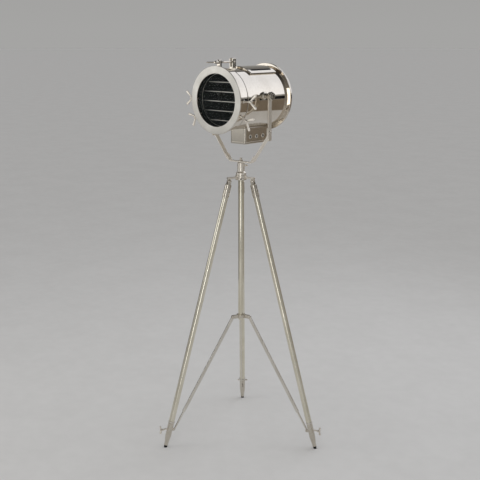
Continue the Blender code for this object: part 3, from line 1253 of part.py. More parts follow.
def make_latch(barrel):
    bottom = 0.5 * BARREL_RADIUS + 0.5 * BARREL_BORE
    bracket = box("latch_bracket",
                  (LATCH_BRACKET_WIDTH, LATCH_BRACKET_TOP - bottom, LATCH_BRACKET_LENGTH), "cast",
                  barrel, (0.0, 0.5 * (LATCH_BRACKET_TOP + bottom), LATCH_PIVOT))
    slot_bottom = BARREL_RADIUS + LATCH_FOOT
    slot_top = LATCH_BRACKET_TOP + OVERRUN
    slot = box("latch_bracket_slot",
               (LATCH_SLOT, slot_top - slot_bottom, LATCH_BRACKET_LENGTH + 2 * OVERRUN), None, barrel,
               (0.0, 0.5 * (slot_top + slot_bottom), LATCH_PIVOT))
    cut(bracket, slot)
    along_x = (0.0, QUARTER_TURN, 0.0)
    pin_reach = 0.5 * LATCH_SLOT + OVERRUN
    pivot_place = (0.0, LATCH_RADIUS, LATCH_PIVOT)
    pin = cylinder("latch_pin", LATCH_PIN_RADIUS, -pin_reach, pin_reach, BOLT_STEPS, None, barrel,
                   pivot_place, along_x)
    join(bracket, pin)
    cut(bracket, barrel_cutter("latch_seat", barrel, LATCH_PIVOT - LATCH_BRACKET_LENGTH,
                               LATCH_PIVOT + LATCH_BRACKET_LENGTH))

    swing = add_empty("latch_pivot", barrel, pivot_place)
    nut_start = LATCH_LUG_BACK + LATCH_LUG_LENGTH + LATCH_NUT_GAP - LATCH_PIVOT
    rod_end = nut_start + LATCH_NUT.hub_end + LATCH_ROD_END
    eye_half = 0.5 * LATCH_SLOT - GAP
    bolt = cylinder("swing_bolt", LATCH_EYE_RADIUS, -eye_half, eye_half, TUBE_STEPS, "polished",
                    swing, turn=along_x)
    rod = cylinder("swing_bolt_rod", LATCH_ROD_RADIUS, LATCH_PIN_RADIUS, rod_end, BOLT_STEPS, None,
                   swing)
    join(bolt, rod)
    eye_hole = cylinder("swing_bolt_hole", LATCH_PIN_RADIUS + GAP, -LATCH_SLOT, LATCH_SLOT,
                        BOLT_STEPS, None, swing, turn=along_x)
    cut(bolt, eye_hole)
    nut_axis = add_empty("latch_nut_axis", swing, (0.0, 0.0, nut_start))
    hand_screw("latch_wing_nut", LATCH_NUT, 0.0, nut_axis, (0.0, 0.0, 0.0), (0.0, 0.0, 0.0), bore=True)


def make_wing_screws(barrel):
    sink = RING_SKIRT_WALL + WING_SCREW_TIP_REACH
    for index, angle in enumerate(WING_SCREW_ANGLES):
        place = (RING_SKIRT_RADIUS * cos(angle), RING_SKIRT_RADIUS * sin(angle), WING_SCREW_STATION)
        axis = add_empty("wing_screw_%d_axis" % (index + 1), barrel, place,
                         (0.0, QUARTER_TURN, angle))
        hand_screw("wing_screw_%d" % (index + 1), WING_SCREW, sink, axis, (0.0, 0.0, 0.0),
                   (0.0, 0.0, 0.0), QUARTER_TURN)


# Tilt pivots

def make_trunnion(barrel, tilt, name, side):
    turn = (0.0, side * QUARTER_TURN, 0.0)
    shoulder = SIDE_BAR_INNER - GAP
    flange = BARREL_RADIUS + TRUNNION_FLANGE_THICKNESS
    profile = [(0.0, SIDE_BAR_OUTER + TRUNNION_STUD_REACH),
               (TRUNNION_STUD_RADIUS, SIDE_BAR_OUTER + TRUNNION_STUD_REACH),
               (TRUNNION_STUD_RADIUS, shoulder),
               (TRUNNION_RADIUS, shoulder),
               (TRUNNION_RADIUS, flange + TRUNNION_FLANGE_TAPER),
               (TRUNNION_FLANGE_RADIUS, flange),
               (TRUNNION_FLANGE_RADIUS, BARREL_RADIUS - TRUNNION_FLANGE_RADIUS),
               (0.0, BARREL_RADIUS - TRUNNION_FLANGE_RADIUS)]
    trunnion = turned("trunnion_" + name, profile, BOLT_STEPS, "cast", tilt, turn=turn)
    cut(trunnion, barrel_cutter("trunnion_seat_" + name, barrel, -TRUNNION_FLANGE_RADIUS - OVERRUN,
                                TRUNNION_FLANGE_RADIUS + OVERRUN))


def make_tilt_knob(tilt, name, side):
    """A lobed knob on the trunnion's stud, outside the yoke."""
    axis = add_empty("tilt_knob_%s_axis" % name, tilt, (side * (SIDE_BAR_OUTER + GAP), 0.0, 0.0),
                     (0.0, side * QUARTER_TURN, 0.0))
    steps = TILT_KNOB_LOBES * KNOB_STEPS_PER_LOBE
    outline = []
    for index in range(steps):
        angle = FULL_TURN * index / steps
        radius = TILT_KNOB_RADIUS - TILT_KNOB_LOBE_DEPTH * (1 - cos(TILT_KNOB_LOBES * angle)) / 2
        outline.append((radius * cos(angle), radius * sin(angle)))
    knob_back = TILT_KNOB_HUB_REACH
    knob = plate("tilt_knob_" + name, outline, TILT_KNOB_THICKNESS, "cast", axis,
                 (0.0, 0.0, knob_back + 0.5 * TILT_KNOB_THICKNESS))
    hub = cylinder("tilt_knob_hub_" + name, TILT_KNOB_HUB_RADIUS, 0.0,
                   knob_back + 0.5 * TILT_KNOB_THICKNESS, TUBE_STEPS, None, axis)
    join(knob, hub)
    depth = TRUNNION_STUD_REACH
    bore = cylinder("tilt_knob_bore_" + name, TRUNNION_STUD_RADIUS + GAP, -OVERRUN, depth, BOLT_STEPS,
                    None, axis)
    cut(knob, bore)


# Putting it together

def centre_on_floor(root):
    """Move the root so that the origin is under the middle of the model's box."""
    bpy.context.view_layer.update()
    graph = bpy.context.evaluated_depsgraph_get()
    low = Vector((float("inf"),) * 3)
    high = Vector((float("-inf"),) * 3)
    for obj in PARTS.objects:
        if obj.type != "MESH":
            continue
        evaluated = obj.evaluated_get(graph)
        mesh = evaluated.to_mesh()
        for vert in mesh.vertices:
            point = evaluated.matrix_world @ vert.co
            low = Vector(map(min, low, point))
            high = Vector(map(max, high, point))
        evaluated.to_mesh_clear()
    root.location = (-0.5 * (low.x + high.x), -0.5 * (low.y + high.y), -low.z)
    bpy.context.view_layer.update()


def main():
    root = add_empty("stand_root", None)
    floor = box("floor_cutter", (2 * FOOT_CIRCLE_RADIUS + COLLAR_HEIGHT,
                                 2 * FOOT_CIRCLE_RADIUS + COLLAR_HEIGHT, COLLAR_HEIGHT), None, root,
                (0.0, 0.0, -0.5 * COLLAR_HEIGHT))
    make_top_hub(root)
    make_post_socket(root)
    make_center_column(root)
    make_pan_thumbscrew(root)
    for index in range(LEG_COUNT):
        make_leg(root, index, floor)
    slide = add_empty("spreader_slide", root, (0.0, 0.0, SPREADER_HEIGHT))
    make_spreader(slide)
    for index in range(LEG_COUNT):
        make_brace(slide, index)

    pan = add_empty("pan_axis", root)
    make_yoke_base(pan)
    make_yoke_spigot(pan)
    make_yoke_side(pan, "left", -1)
    make_yoke_side(pan, "right", 1)

    tilt = add_empty("tilt_axis", pan, (0.0, 0.0, TILT_HEIGHT))
    barrel = add_empty("barrel_axis", tilt, (0.0, 0.0, -BARREL_DROP), (QUARTER_TURN, 0.0, 0.0))
    make_barrel_shell(barrel)
    make_rear_cover(barrel)
    make_front_ring(barrel)
    make_lens_glass(barrel)
    make_louvre(barrel)
    make_reflector(barrel)
    make_lamp(barrel)
    make_vent_cover(barrel)
    make_housing(barrel)
    make_cable_gland(barrel)
    make_latch(barrel)
    make_wing_screws(barrel)
    for name, side in (("left", -1), ("right", 1)):
        make_trunnion(barrel, tilt, name, side)
        make_tilt_knob(tilt, name, side)

    centre_on_floor(root)
    print("leg lean %.3f deg, brace lean %.3f deg" % (degrees(LEG_LEAN), degrees(BRACE_LEAN)))


main()
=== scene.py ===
from math import acos, atan, atan2, cos, hypot, pi, radians, sin, sqrt, tan

import bmesh
import bpy
from mathutils import Euler, Matrix, Vector


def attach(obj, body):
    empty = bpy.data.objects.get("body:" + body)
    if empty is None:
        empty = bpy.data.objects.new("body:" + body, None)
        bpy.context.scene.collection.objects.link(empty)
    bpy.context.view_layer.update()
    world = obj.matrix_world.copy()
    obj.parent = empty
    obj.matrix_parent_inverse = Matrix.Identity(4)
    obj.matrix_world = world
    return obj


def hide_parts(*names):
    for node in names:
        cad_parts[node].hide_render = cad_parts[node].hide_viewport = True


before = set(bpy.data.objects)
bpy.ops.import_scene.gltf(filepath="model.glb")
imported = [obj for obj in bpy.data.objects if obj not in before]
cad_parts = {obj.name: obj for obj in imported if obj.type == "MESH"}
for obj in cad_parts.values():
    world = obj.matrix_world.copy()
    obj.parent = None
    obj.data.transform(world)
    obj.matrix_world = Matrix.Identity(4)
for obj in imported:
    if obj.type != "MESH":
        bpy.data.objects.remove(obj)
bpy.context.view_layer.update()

# Sizes shared with the CAD part, in metres
CENTRE = (-0.0605, 0.03565)
GAP = 0.0003
QUARTER = pi / 2
HINGE_RADIUS, HINGE_HEIGHT, FOOT_RADIUS = 0.0595, 1.189, 0.390
LEG_LEAN = atan((FOOT_RADIUS - HINGE_RADIUS) / HINGE_HEIGHT)
LEG_LENGTH = hypot(FOOT_RADIUS - HINGE_RADIUS, HINGE_HEIGHT)
LEG_AZIMUTHS = [radians(131.28 + 120 * index) for index in range(3)]
HUB_BOTTOM, HUB_TOP = 1.192, 1.211
FRONT_SIDE = radians(-48.72)
HUB_RADIUS, HUB_GROOVE = 0.0255, 0.0014
POST_BOTTOM, POST_TOP, POST_RADIUS, FLANGE_RADIUS = 1.2113, 1.2668, 0.0165, 0.0225
SOCKET_RADIUS, SHOE_RADIUS = 0.0145, 0.0132
TUBE_RADIUS, TUBE_BORE, SLEEVE = 0.0127, 0.0112, 0.0131
SPREADER_HEIGHT, PIN_CIRCLE = 0.5616, 0.043
BRACE_SIDE, BRACE_THICKNESS = 0.0022, 0.004
LUG_REACH, LUG_LEVEL = 0.0215, 0.084
BRACE_REACH = (HINGE_RADIUS - LUG_REACH * cos(LEG_LEAN) + (LEG_LENGTH - LUG_LEVEL) * sin(LEG_LEAN)
               - PIN_CIRCLE)
BRACE_DROP = (SPREADER_HEIGHT - HINGE_HEIGHT + LUG_REACH * sin(LEG_LEAN)
              + (LEG_LENGTH - LUG_LEVEL) * cos(LEG_LEAN))
BRACE_LEAN = atan(BRACE_REACH / BRACE_DROP)
TILT_HEIGHT = 1.566
BARREL_DROP, BARREL_RADIUS, BARREL_BORE = 0.0175, 0.1305, 0.129
BARREL_FRONT, RIM_FRONT, RIM_RADIUS, RIM_BACK = 0.1005, -0.158, 0.1472, -0.164
SKIRT_RADIUS, SKIRT_BORE, RING_RADIUS, RING_OPENING = 0.1335, 0.1318, 0.144, 0.111
RING_FACE, RING_BACK = 0.160, 0.154
WING_LEVEL, WING_ANGLES = 0.130, (0.0, pi, radians(-28.0), radians(-152.0))
BAR_WIDTH, BAR_THICKNESS = 0.021, 0.005
YOKE_LEVEL, YOKE_SLANT = 1.272, radians(53.5)
SIDE_BAR_MIDDLE = 0.165
ARM_UPRIGHT = 0.1597
LATCH_RADIUS = 0.1575

# How finely the visible pieces are made
DRUM_STEPS, TUBE_STEPS, KNOB_STEPS, SMALL_STEPS = 144, 64, 48, 32
MERGE = 0.000001
SHARP = radians(32)


# Materials

# Scales of a noise that runs along Z as streaks
DRAWN = (450.0, 450.0, 1.2)


def linear(code):
    """The linear colour of an sRGB hex code."""
    values = [int(code[index:index + 2], 16) / 255 for index in (0, 2, 4)]
    return [v / 12.92 if v <= 0.04045 else ((v + 0.055) / 1.055) ** 2.4 for v in values] + [1.0]


def add_node(tree, kind, inputs=None, **settings):
    """A shader node with its settings, and its inputs linked or set."""
    node = tree.nodes.new(kind)
    for name, value in settings.items():
        setattr(node, name, value)
    for name, value in (inputs or {}).items():
        if isinstance(value, bpy.types.NodeSocket):
            tree.links.new(value, node.inputs[name])
        else:
            node.inputs[name].default_value = value
    return node


def surface(name, light, dark, roughness, spread, grain, metallic=1.0, turn=(0.0, 0.0, 0.0),
            bump=0.0, bump_scale=60.0):
    """A finish whose colour and polish vary with a stretched grain and with soft clouds."""
    material = bpy.data.materials.new(name)
    material.use_nodes = True
    tree = material.node_tree
    shader = tree.nodes["Principled BSDF"]
    shader.inputs["Metallic"].default_value = metallic
    place = add_node(tree, "ShaderNodeTexCoord").outputs["Object"]
    turned = add_node(tree, "ShaderNodeMapping", {"Vector": place, "Rotation": turn})
    stretched = add_node(tree, "ShaderNodeMapping", {"Vector": turned.outputs["Vector"], "Scale": grain})
    streaks = add_node(tree, "ShaderNodeTexNoise", {
        "Vector": stretched.outputs["Vector"], "Scale": 1.0, "Detail": 1.5})
    clouds = add_node(tree, "ShaderNodeTexNoise", {"Vector": place, "Scale": 14.0, "Detail": 4.0})
    both = add_node(tree, "ShaderNodeMath", {0: streaks.outputs["Fac"], 1: clouds.outputs["Fac"]},
                    operation="ADD")
    share = add_node(tree, "ShaderNodeMapRange", {
        "Value": both.outputs["Value"], "From Min": 0.75, "From Max": 1.25})
    tint = add_node(tree, "ShaderNodeMixRGB", {
        "Fac": share.outputs["Result"], "Color1": linear(dark), "Color2": linear(light)})
    polish = add_node(tree, "ShaderNodeMapRange", {
        "Value": both.outputs["Value"], "From Min": 0.75, "From Max": 1.25,
        "To Min": roughness + spread, "To Max": roughness})
    tree.links.new(tint.outputs["Color"], shader.inputs["Base Color"])
    tree.links.new(polish.outputs["Result"], shader.inputs["Roughness"])
    if bump:
        waves = add_node(tree, "ShaderNodeTexNoise", {
            "Vector": place, "Scale": bump_scale, "Detail": 2.0})
        relief = add_node(tree, "ShaderNodeBump", {
            "Height": waves.outputs["Fac"], "Distance": bump, "Strength": 1.0})
        tree.links.new(relief.outputs["Normal"], shader.inputs["Normal"])
    return material


def adjust(material, name, value):
    """One more even input of a finish's shader."""
    material.node_tree.nodes["Principled BSDF"].inputs[name].default_value = value


def tube_finish(name, turn, roughness):
    """Warm nickel on drawn tube, with its streaks along the tube."""
    return surface(name, "ECE7D8", "D9D3C1", roughness, 0.05, DRAWN, turn=turn)


POLISHED = surface("polished_nickel", "DDD6CB", "D0C8BC", 0.035, 0.035, (300.0, 300.0, 300.0),
                   bump=0.00004, bump_scale=9.0)
SATIN = surface("satin_nickel", "D2CFC8", "BFBCB5", 0.30, 0.10, (900.0, 900.0, 900.0), bump=0.00001,
                bump_scale=900.0)
CAST = surface("cast_nickel", "DAD4C9", "C6BFB2", 0.10, 0.10, (250.0, 250.0, 250.0), bump=0.00006,
               bump_scale=110.0)
# Black enamel, also used as painted shade in the discs and strips that stand in for holes and slots
BLACK = surface("black_enamel", "0C0C0B", "070706", 0.50, 0.14, (150.0, 150.0, 150.0), metallic=0.0)
adjust(BLACK, "Specular IOR Level", 0.06)
# Light nickel on rims, collars and blade edges: painted highlight where these edges catch the light
HIGHLIGHT_EDGE = surface("painted_highlight_edge", "F2EEE6", "E2DED5", 0.34, 0.12, (400.0, 900.0, 900.0))
BAR = surface("bar_nickel", "F2ECE1", "E2DACE", 0.30, 0.10, (260.0, 260.0, 260.0), bump=0.00002,
              bump_scale=160.0)
RUBBER = surface("black_rubber", "1A1918", "0E0E0D", 0.72, 0.14, (500.0, 500.0, 500.0), metallic=0.0,
                 bump=0.00005, bump_scale=700.0)
# A near-black reflector: painted shade for the dark inside of the head
SHADED_REFLECTOR = surface("reflector_painted_shade", "35332F", "262421", 0.30, 0.12, (120.0, 120.0, 120.0))
OPAL = surface("opal_glass", "F3F0E8", "E6E2D8", 0.16, 0.08, (200.0, 200.0, 200.0), metallic=0.0)
CERAMIC = surface("glazed_ceramic", "E9E4D8", "DAD4C6", 0.14, 0.10, (250.0, 250.0, 250.0), metallic=0.0,
                  bump=0.00003, bump_scale=200.0)
GLASS = surface("clear_glass", "97A19E", "8C9693", 0.01, 0.02, (40.0, 40.0, 40.0), metallic=0.0)
adjust(GLASS, "Alpha", 0.02)
COLUMN_FINISH = tube_finish("nickel_tube_column", (0.0, 0.0, 0.0), 0.07)
LEG_FINISHES = []
BRACE_FINISHES = []
for number, azimuth in enumerate(LEG_AZIMUTHS, 1):
    leg_turn = Euler((0.0, -LEG_LEAN, azimuth)).to_matrix().inverted().to_euler()
    brace_turn = Euler((0.0, -BRACE_LEAN, azimuth)).to_matrix().inverted().to_euler()
    LEG_FINISHES.append(tube_finish("nickel_tube_leg_%d" % number, leg_turn, 0.18))
    BRACE_FINISHES.append(surface("nickel_strap_%d" % number, "E4E0D8", "D0CBC1", 0.15, 0.08,
                                  DRAWN, turn=brace_turn))


# Shaping tools

def at(parent, place=(0.0, 0.0, 0.0), turn=(0.0, 0.0, 0.0)):
    """A frame inside another one."""
    return parent @ Matrix.Translation(place) @ Euler(turn).to_matrix().to_4x4()


def arc(centre, radius, start, end, steps=12):
    return [(centre[0] + radius * cos(start + (end - start) * index / steps),
             centre[1] + radius * sin(start + (end - start) * index / steps))
            for index in range(steps + 1)]


def soften(points, fillet, closed=False, steps=3):
    """The same path with each real corner rounded, as far as the lengths beside it allow."""
    result = []
    for index, point in enumerate(points):
        corner = Vector(point)
        if not closed and index in (0, len(points) - 1):
            result.append(tuple(corner))
            continue
        into = corner - Vector(points[index - 1])
        out = Vector(points[(index + 1) % len(points)]) - corner
        if into.angle(out, 0.0) < 0.25:
            result.append(tuple(corner))
            continue
        start = corner - into.normalized() * min(fillet, 0.45 * into.length)
        end = corner + out.normalized() * min(fillet, 0.45 * out.length)
        for step in range(steps + 1):
            t = step / steps
            result.append(tuple(start * (1 - t) ** 2 + corner * 2 * t * (1 - t) + end * t * t))
    return result


def lathe(profile, steps, fillet=0.0006, closed=False):
    """A (radius, height) profile turned about Z, its corners rounded."""
    bm = bmesh.new()
    points = soften(profile, fillet, closed)
    verts = [bm.verts.new((radius, 0.0, height)) for radius, height in points]
    ends = verts[1:] + verts[:1] if closed else verts[1:]
    edges = [bm.edges.new(pair) for pair in zip(verts, ends)]
    bmesh.ops.spin(bm, geom=verts + edges, cent=(0.0, 0.0, 0.0), axis=(0.0, 0.0, 1.0), angle=2 * pi,
                   steps=steps, use_merge=True)
    return bm


def slab(outline, thickness, fillet, segments=3):
    """A plate about the XY plane with rounded edges."""
    bm = bmesh.new()
    face = bm.faces.new([bm.verts.new((x, y, -0.5 * thickness)) for x, y in outline])
    grown = bmesh.ops.extrude_face_region(bm, geom=[face])["geom"]
    bmesh.ops.translate(bm, vec=(0.0, 0.0, thickness),
                        verts=[item for item in grown if isinstance(item, bmesh.types.BMVert)])
    rims = [edge for edge in bm.edges if abs(edge.verts[0].co.z - edge.verts[1].co.z) < MERGE]
    bmesh.ops.bevel(bm, geom=rims, offset=fillet, offset_type="OFFSET", segments=segments, profile=0.5,
                    affect="EDGES", material=-1)
    return bm


def block(size, fillet, segments=3):
    """A box about the origin with rounded edges."""
    bm = bmesh.new()
    bmesh.ops.create_cube(bm, size=1)
    bmesh.ops.scale(bm, vec=size, verts=bm.verts)
    bmesh.ops.bevel(bm, geom=bm.edges[:], offset=fillet, offset_type="OFFSET", segments=segments,
                    profile=0.5, affect="EDGES", material=-1)
    return bm


def placed(bm, place=(0.0, 0.0, 0.0), turn=(0.0, 0.0, 0.0)):
    bm.transform(at(Matrix(), place, turn))
    return bm


def painted(bm, index, test=None):
    """Faces that pass the test take the piece's material of that index."""
    for face in bm.faces:
        if test is None or test(face.calc_center_median()):
            face.material_index = index
    return bm


def paddle(start, start_radius, end, end_radius, steps=10):
    """The outline round two circles."""
    run = Vector(end) - Vector(start)
    heading = atan2(run.y, run.x)
    spread = acos((start_radius - end_radius) / run.length)
    return (arc(end, end_radius, heading - spread, heading + spread, steps)
            + arc(start, start_radius, heading + spread, heading + 2 * pi - spread, steps))


def bent_bar(corners, bend, thickness):
    """The closed outline of a bar of even thickness with round bends."""
    path = [corners[0]]
    for before, corner, after in zip(corners, corners[1:], corners[2:]):
        into = (Vector(corner) - Vector(before)).normalized()
        out = (Vector(after) - Vector(corner)).normalized()
        turn = atan2(into.x * out.y - into.y * out.x, into.dot(out))
        side = 1 if turn > 0 else -1
        start = Vector(corner) - into * bend * tan(abs(turn) / 2)
        centre = start + Vector((-into.y, into.x)) * bend * side
        first = atan2(start.y - centre.y, start.x - centre.x)
        path += arc(centre, bend, first, first + turn, 10)
    path.append(corners[-1])
    left, right = [], []
    for index, point in enumerate(path):
        here = Vector(point)
        before = Vector(path[max(index - 1, 0)])
        after = Vector(path[min(index + 1, len(path) - 1)])
        into = (here - before).normalized() if index > 0 else (after - here).normalized()
        out = (after - here).normalized() if index < len(path) - 1 else into
        mitre = (into + out).normalized()
        normal = Vector((-mitre.y, mitre.x))
        reach = 0.5 * thickness / mitre.dot(into)
        left.append(tuple(here + normal * reach))
        right.append(tuple(here - normal * reach))
    return left + right[::-1]


def add_piece(node, body, place, parts, materials):
    """One finished piece that stands for a CAD node: its parts are joined without merging."""
    whole = bmesh.new()
    for part in parts:
        bmesh.ops.remove_doubles(part, verts=part.verts, dist=MERGE)
        bmesh.ops.recalc_face_normals(part, faces=part.faces)
        part.transform(place)
        step = bpy.data.meshes.new("step")
        part.to_mesh(step)
        part.free()
        whole.from_mesh(step)
        bpy.data.meshes.remove(step)
    mesh = bpy.data.meshes.new("fine_" + node)
    whole.to_mesh(mesh)
    whole.free()
    for material in materials:
        mesh.materials.append(material)
    mesh.shade_smooth()
    mesh.set_sharp_from_angle(angle=SHARP)
    piece = bpy.data.objects.new("fine_" + node, mesh)
    bpy.context.scene.collection.objects.link(piece)
    evened = piece.modifiers.new("even_shading", "WEIGHTED_NORMAL")
    evened.keep_sharp = True
    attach(piece, body)
    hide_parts(node)
    return piece


def dome(radius, height, base=0.0, steps=5):
    """A low round head as a profile from its top to its rim."""
    return [(radius * sin(QUARTER * index / steps), base + height * cos(QUARTER * index / steps))
            for index in range(steps + 1)]


def domed_pin(radius, head_radius, head, half_grip):
    top = dome(head_radius, head, half_grip)
    bottom = [(r, -z) for r, z in top[::-1]]
    return lathe(top + [(head_radius, half_grip), (radius, half_grip), (radius, -half_grip),
                        (head_radius, -half_grip)] + bottom, SMALL_STEPS, 0.0002)


def rivet_head():
    return lathe(dome(0.0034, 0.002) + [(0.0034, -0.0005), (0.0, -0.0005)], SMALL_STEPS, 0.0001)


def painted_shade_hole(radius, sink=0.001):
    """A disc a hair above a surface, in the piece's second material: painted shade that stands in for a hole.
    """
    rise = 0.0003
    return painted(lathe([(0.0, rise), (radius, rise), (radius, -sink), (0.0, -sink)], SMALL_STEPS,
                         0.0001), 1)


def forked_lug(half, chamfer, low, slot_low, high):
    """The outline of a lug with a slot that is open at its top."""
    slot, drop = 0.0045, 0.003
    right = [(half, high - drop), (half - chamfer, high), (slot, high), (slot, slot_low)]
    return [(-half, low), (half, low)] + right + [(-x, y) for x, y in right[::-1]]


def threads(radius, high, low, pitch=0.00125, depth=0.0004):
    """A screw's ridges as rings, from high to low."""
    points = []
    level = high
    while level - pitch > low:
        points += [(radius, level - 0.3 * pitch), (radius - depth, level - 0.8 * pitch)]
        level -= pitch
    return points


def hand_screw(shank, hub, start, end, span, root, tip, width, thickness, sink, blade_turn, nut=False):
    """A hand screw along Z: a threaded shank, a hub with a round end and two ears."""
    collar = [(0.55 * hub, end + 0.12 * hub), (0.9 * hub, end - 0.1 * hub), (hub, end - 0.5 * hub),
              (hub, start + 0.25 * hub), (0.86 * hub, start)]
    if nut:
        bore = shank + GAP
        stem = lathe([(bore, end)] + collar[1:] + [(bore, start)], SMALL_STEPS, 0.0005, closed=True)
    else:
        stem = lathe([(0.0, end + 0.2 * hub)] + collar + [(shank, start)] + threads(shank, start, 0.0)
                     + [(shank, -sink), (0.0, -sink)], SMALL_STEPS, 0.0003)
    parts = [stem]
    for side in (1, -1):
        ear = paddle((side * 0.8 * hub, root + 0.5 * width), 0.34 * width,
                     (side * (span - 0.5 * width), tip - 0.5 * width), 0.6 * width)
        parts.append(placed(slab(ear, 1.35 * thickness, 0.5 * thickness, 4), turn=(QUARTER, 0.0, blade_turn)))
    return parts


# Frames of the assembly

ROOT = Matrix.Translation((*CENTRE, 0.0))
LEVEL = (0.0, 0.0, 0.0)
SIDEWAYS = (QUARTER, 0.0, 0.0)
BARREL = at(ROOT, (0.0, 0.0, TILT_HEIGHT - BARREL_DROP), (QUARTER, 0.0, 0.0))


def around(radius, azimuth, height=0.0):
    return (radius * cos(azimuth), radius * sin(azimuth), height)


# Stand

def make_hub():
    pin_radius, pin_top, bore_top = 0.0085, 1.234, 1.204
    middle = 0.5 * (HUB_BOTTOM + HUB_TOP)
    profile = [(0.0, pin_top), (pin_radius, pin_top), (pin_radius, HUB_TOP), (HUB_RADIUS, HUB_TOP),
               (HUB_RADIUS, middle + HUB_GROOVE), (HUB_RADIUS - HUB_GROOVE, middle),
               (HUB_RADIUS, middle - HUB_GROOVE), (HUB_RADIUS, HUB_BOTTOM), (SLEEVE, HUB_BOTTOM),
               (SLEEVE, bore_top), (0.0, bore_top)]
    parts = [lathe(profile, TUBE_STEPS, 0.0008)]
    bottom = HINGE_HEIGHT + 0.0095
    for azimuth in LEG_AZIMUTHS:
        parts.append(placed(block((0.0535, 0.013, 0.008), 0.001), around(0.04225, azimuth, bottom + 0.004),
                            (0.0, 0.0, azimuth)))
        top = bottom + 0.004 - HINGE_HEIGHT
        lug = [(0.0085, top), (-0.0085, top)] + arc((0.0, 0.0), 0.0085, pi, 2 * pi, 20)
        parts.append(placed(slab(lug, 0.008, 0.0007), around(HINGE_RADIUS, azimuth, HINGE_HEIGHT),
                            (QUARTER, 0.0, azimuth)))
    # A black disc on the hub's front: painted shade for a hole.
    parts.append(placed(painted_shade_hole(0.0032), around(HUB_RADIUS, FRONT_SIDE, 1.1966),
                        (0.0, QUARTER, FRONT_SIDE)))
    add_piece("top_hub", "stand", ROOT, parts, [BAR, BLACK])


def make_post():
    bore = 0.0083
    profile = [(bore, POST_TOP), (POST_RADIUS, POST_TOP), (POST_RADIUS, 1.2288), (FLANGE_RADIUS, 1.2233),
               (FLANGE_RADIUS, POST_BOTTOM), (0.0088, POST_BOTTOM), (0.0088, 1.2343), (bore, 1.2388)]
    cone = radians(42.5)
    # The black disc on the flange is painted shade for a hole.
    parts = [lathe(profile, TUBE_STEPS, 0.0009, closed=True),
             placed(painted_shade_hole(0.0018), around(0.0196, FRONT_SIDE, 1.2260), (0.0, cone, FRONT_SIDE))]
    add_piece("post_socket", "stand", ROOT, parts, [BAR, BLACK])
    heading = radians(42.0)
    axis = at(ROOT, around(POST_RADIUS, heading, 1.2553), (0.0, QUARTER, heading))
    add_piece("pan_thumbscrew", "pan_screw", axis,
              hand_screw(shank=0.003, hub=0.0045, start=0.0035, end=0.010, span=0.009, root=0.005,
                         tip=0.0145, width=0.0052, thickness=0.0036, sink=0.0081, blade_turn=QUARTER),
              [BAR])


def tube(top, bottom):
    return lathe([(TUBE_RADIUS, top), (TUBE_RADIUS, bottom), (TUBE_BORE, bottom), (TUBE_BORE, top)],
                 TUBE_STEPS, 0.0005, closed=True)


def make_column():
    add_piece("center_column", "stand", ROOT, [tube(1.2037, 0.545)], [COLUMN_FINISH])


def fork_ears(width, ear, radius, root):
    """Two round-topped cheeks either side of a slot."""
    outline = [(-radius, root), (radius, root)] + arc((0.0, 0.0), radius, 0.0, pi, 20)
    side = 0.5 * (width - ear)
    return [placed(slab(outline, ear, 0.0008), (0.0, offset, 0.0), SIDEWAYS) for offset in (side, -side)]


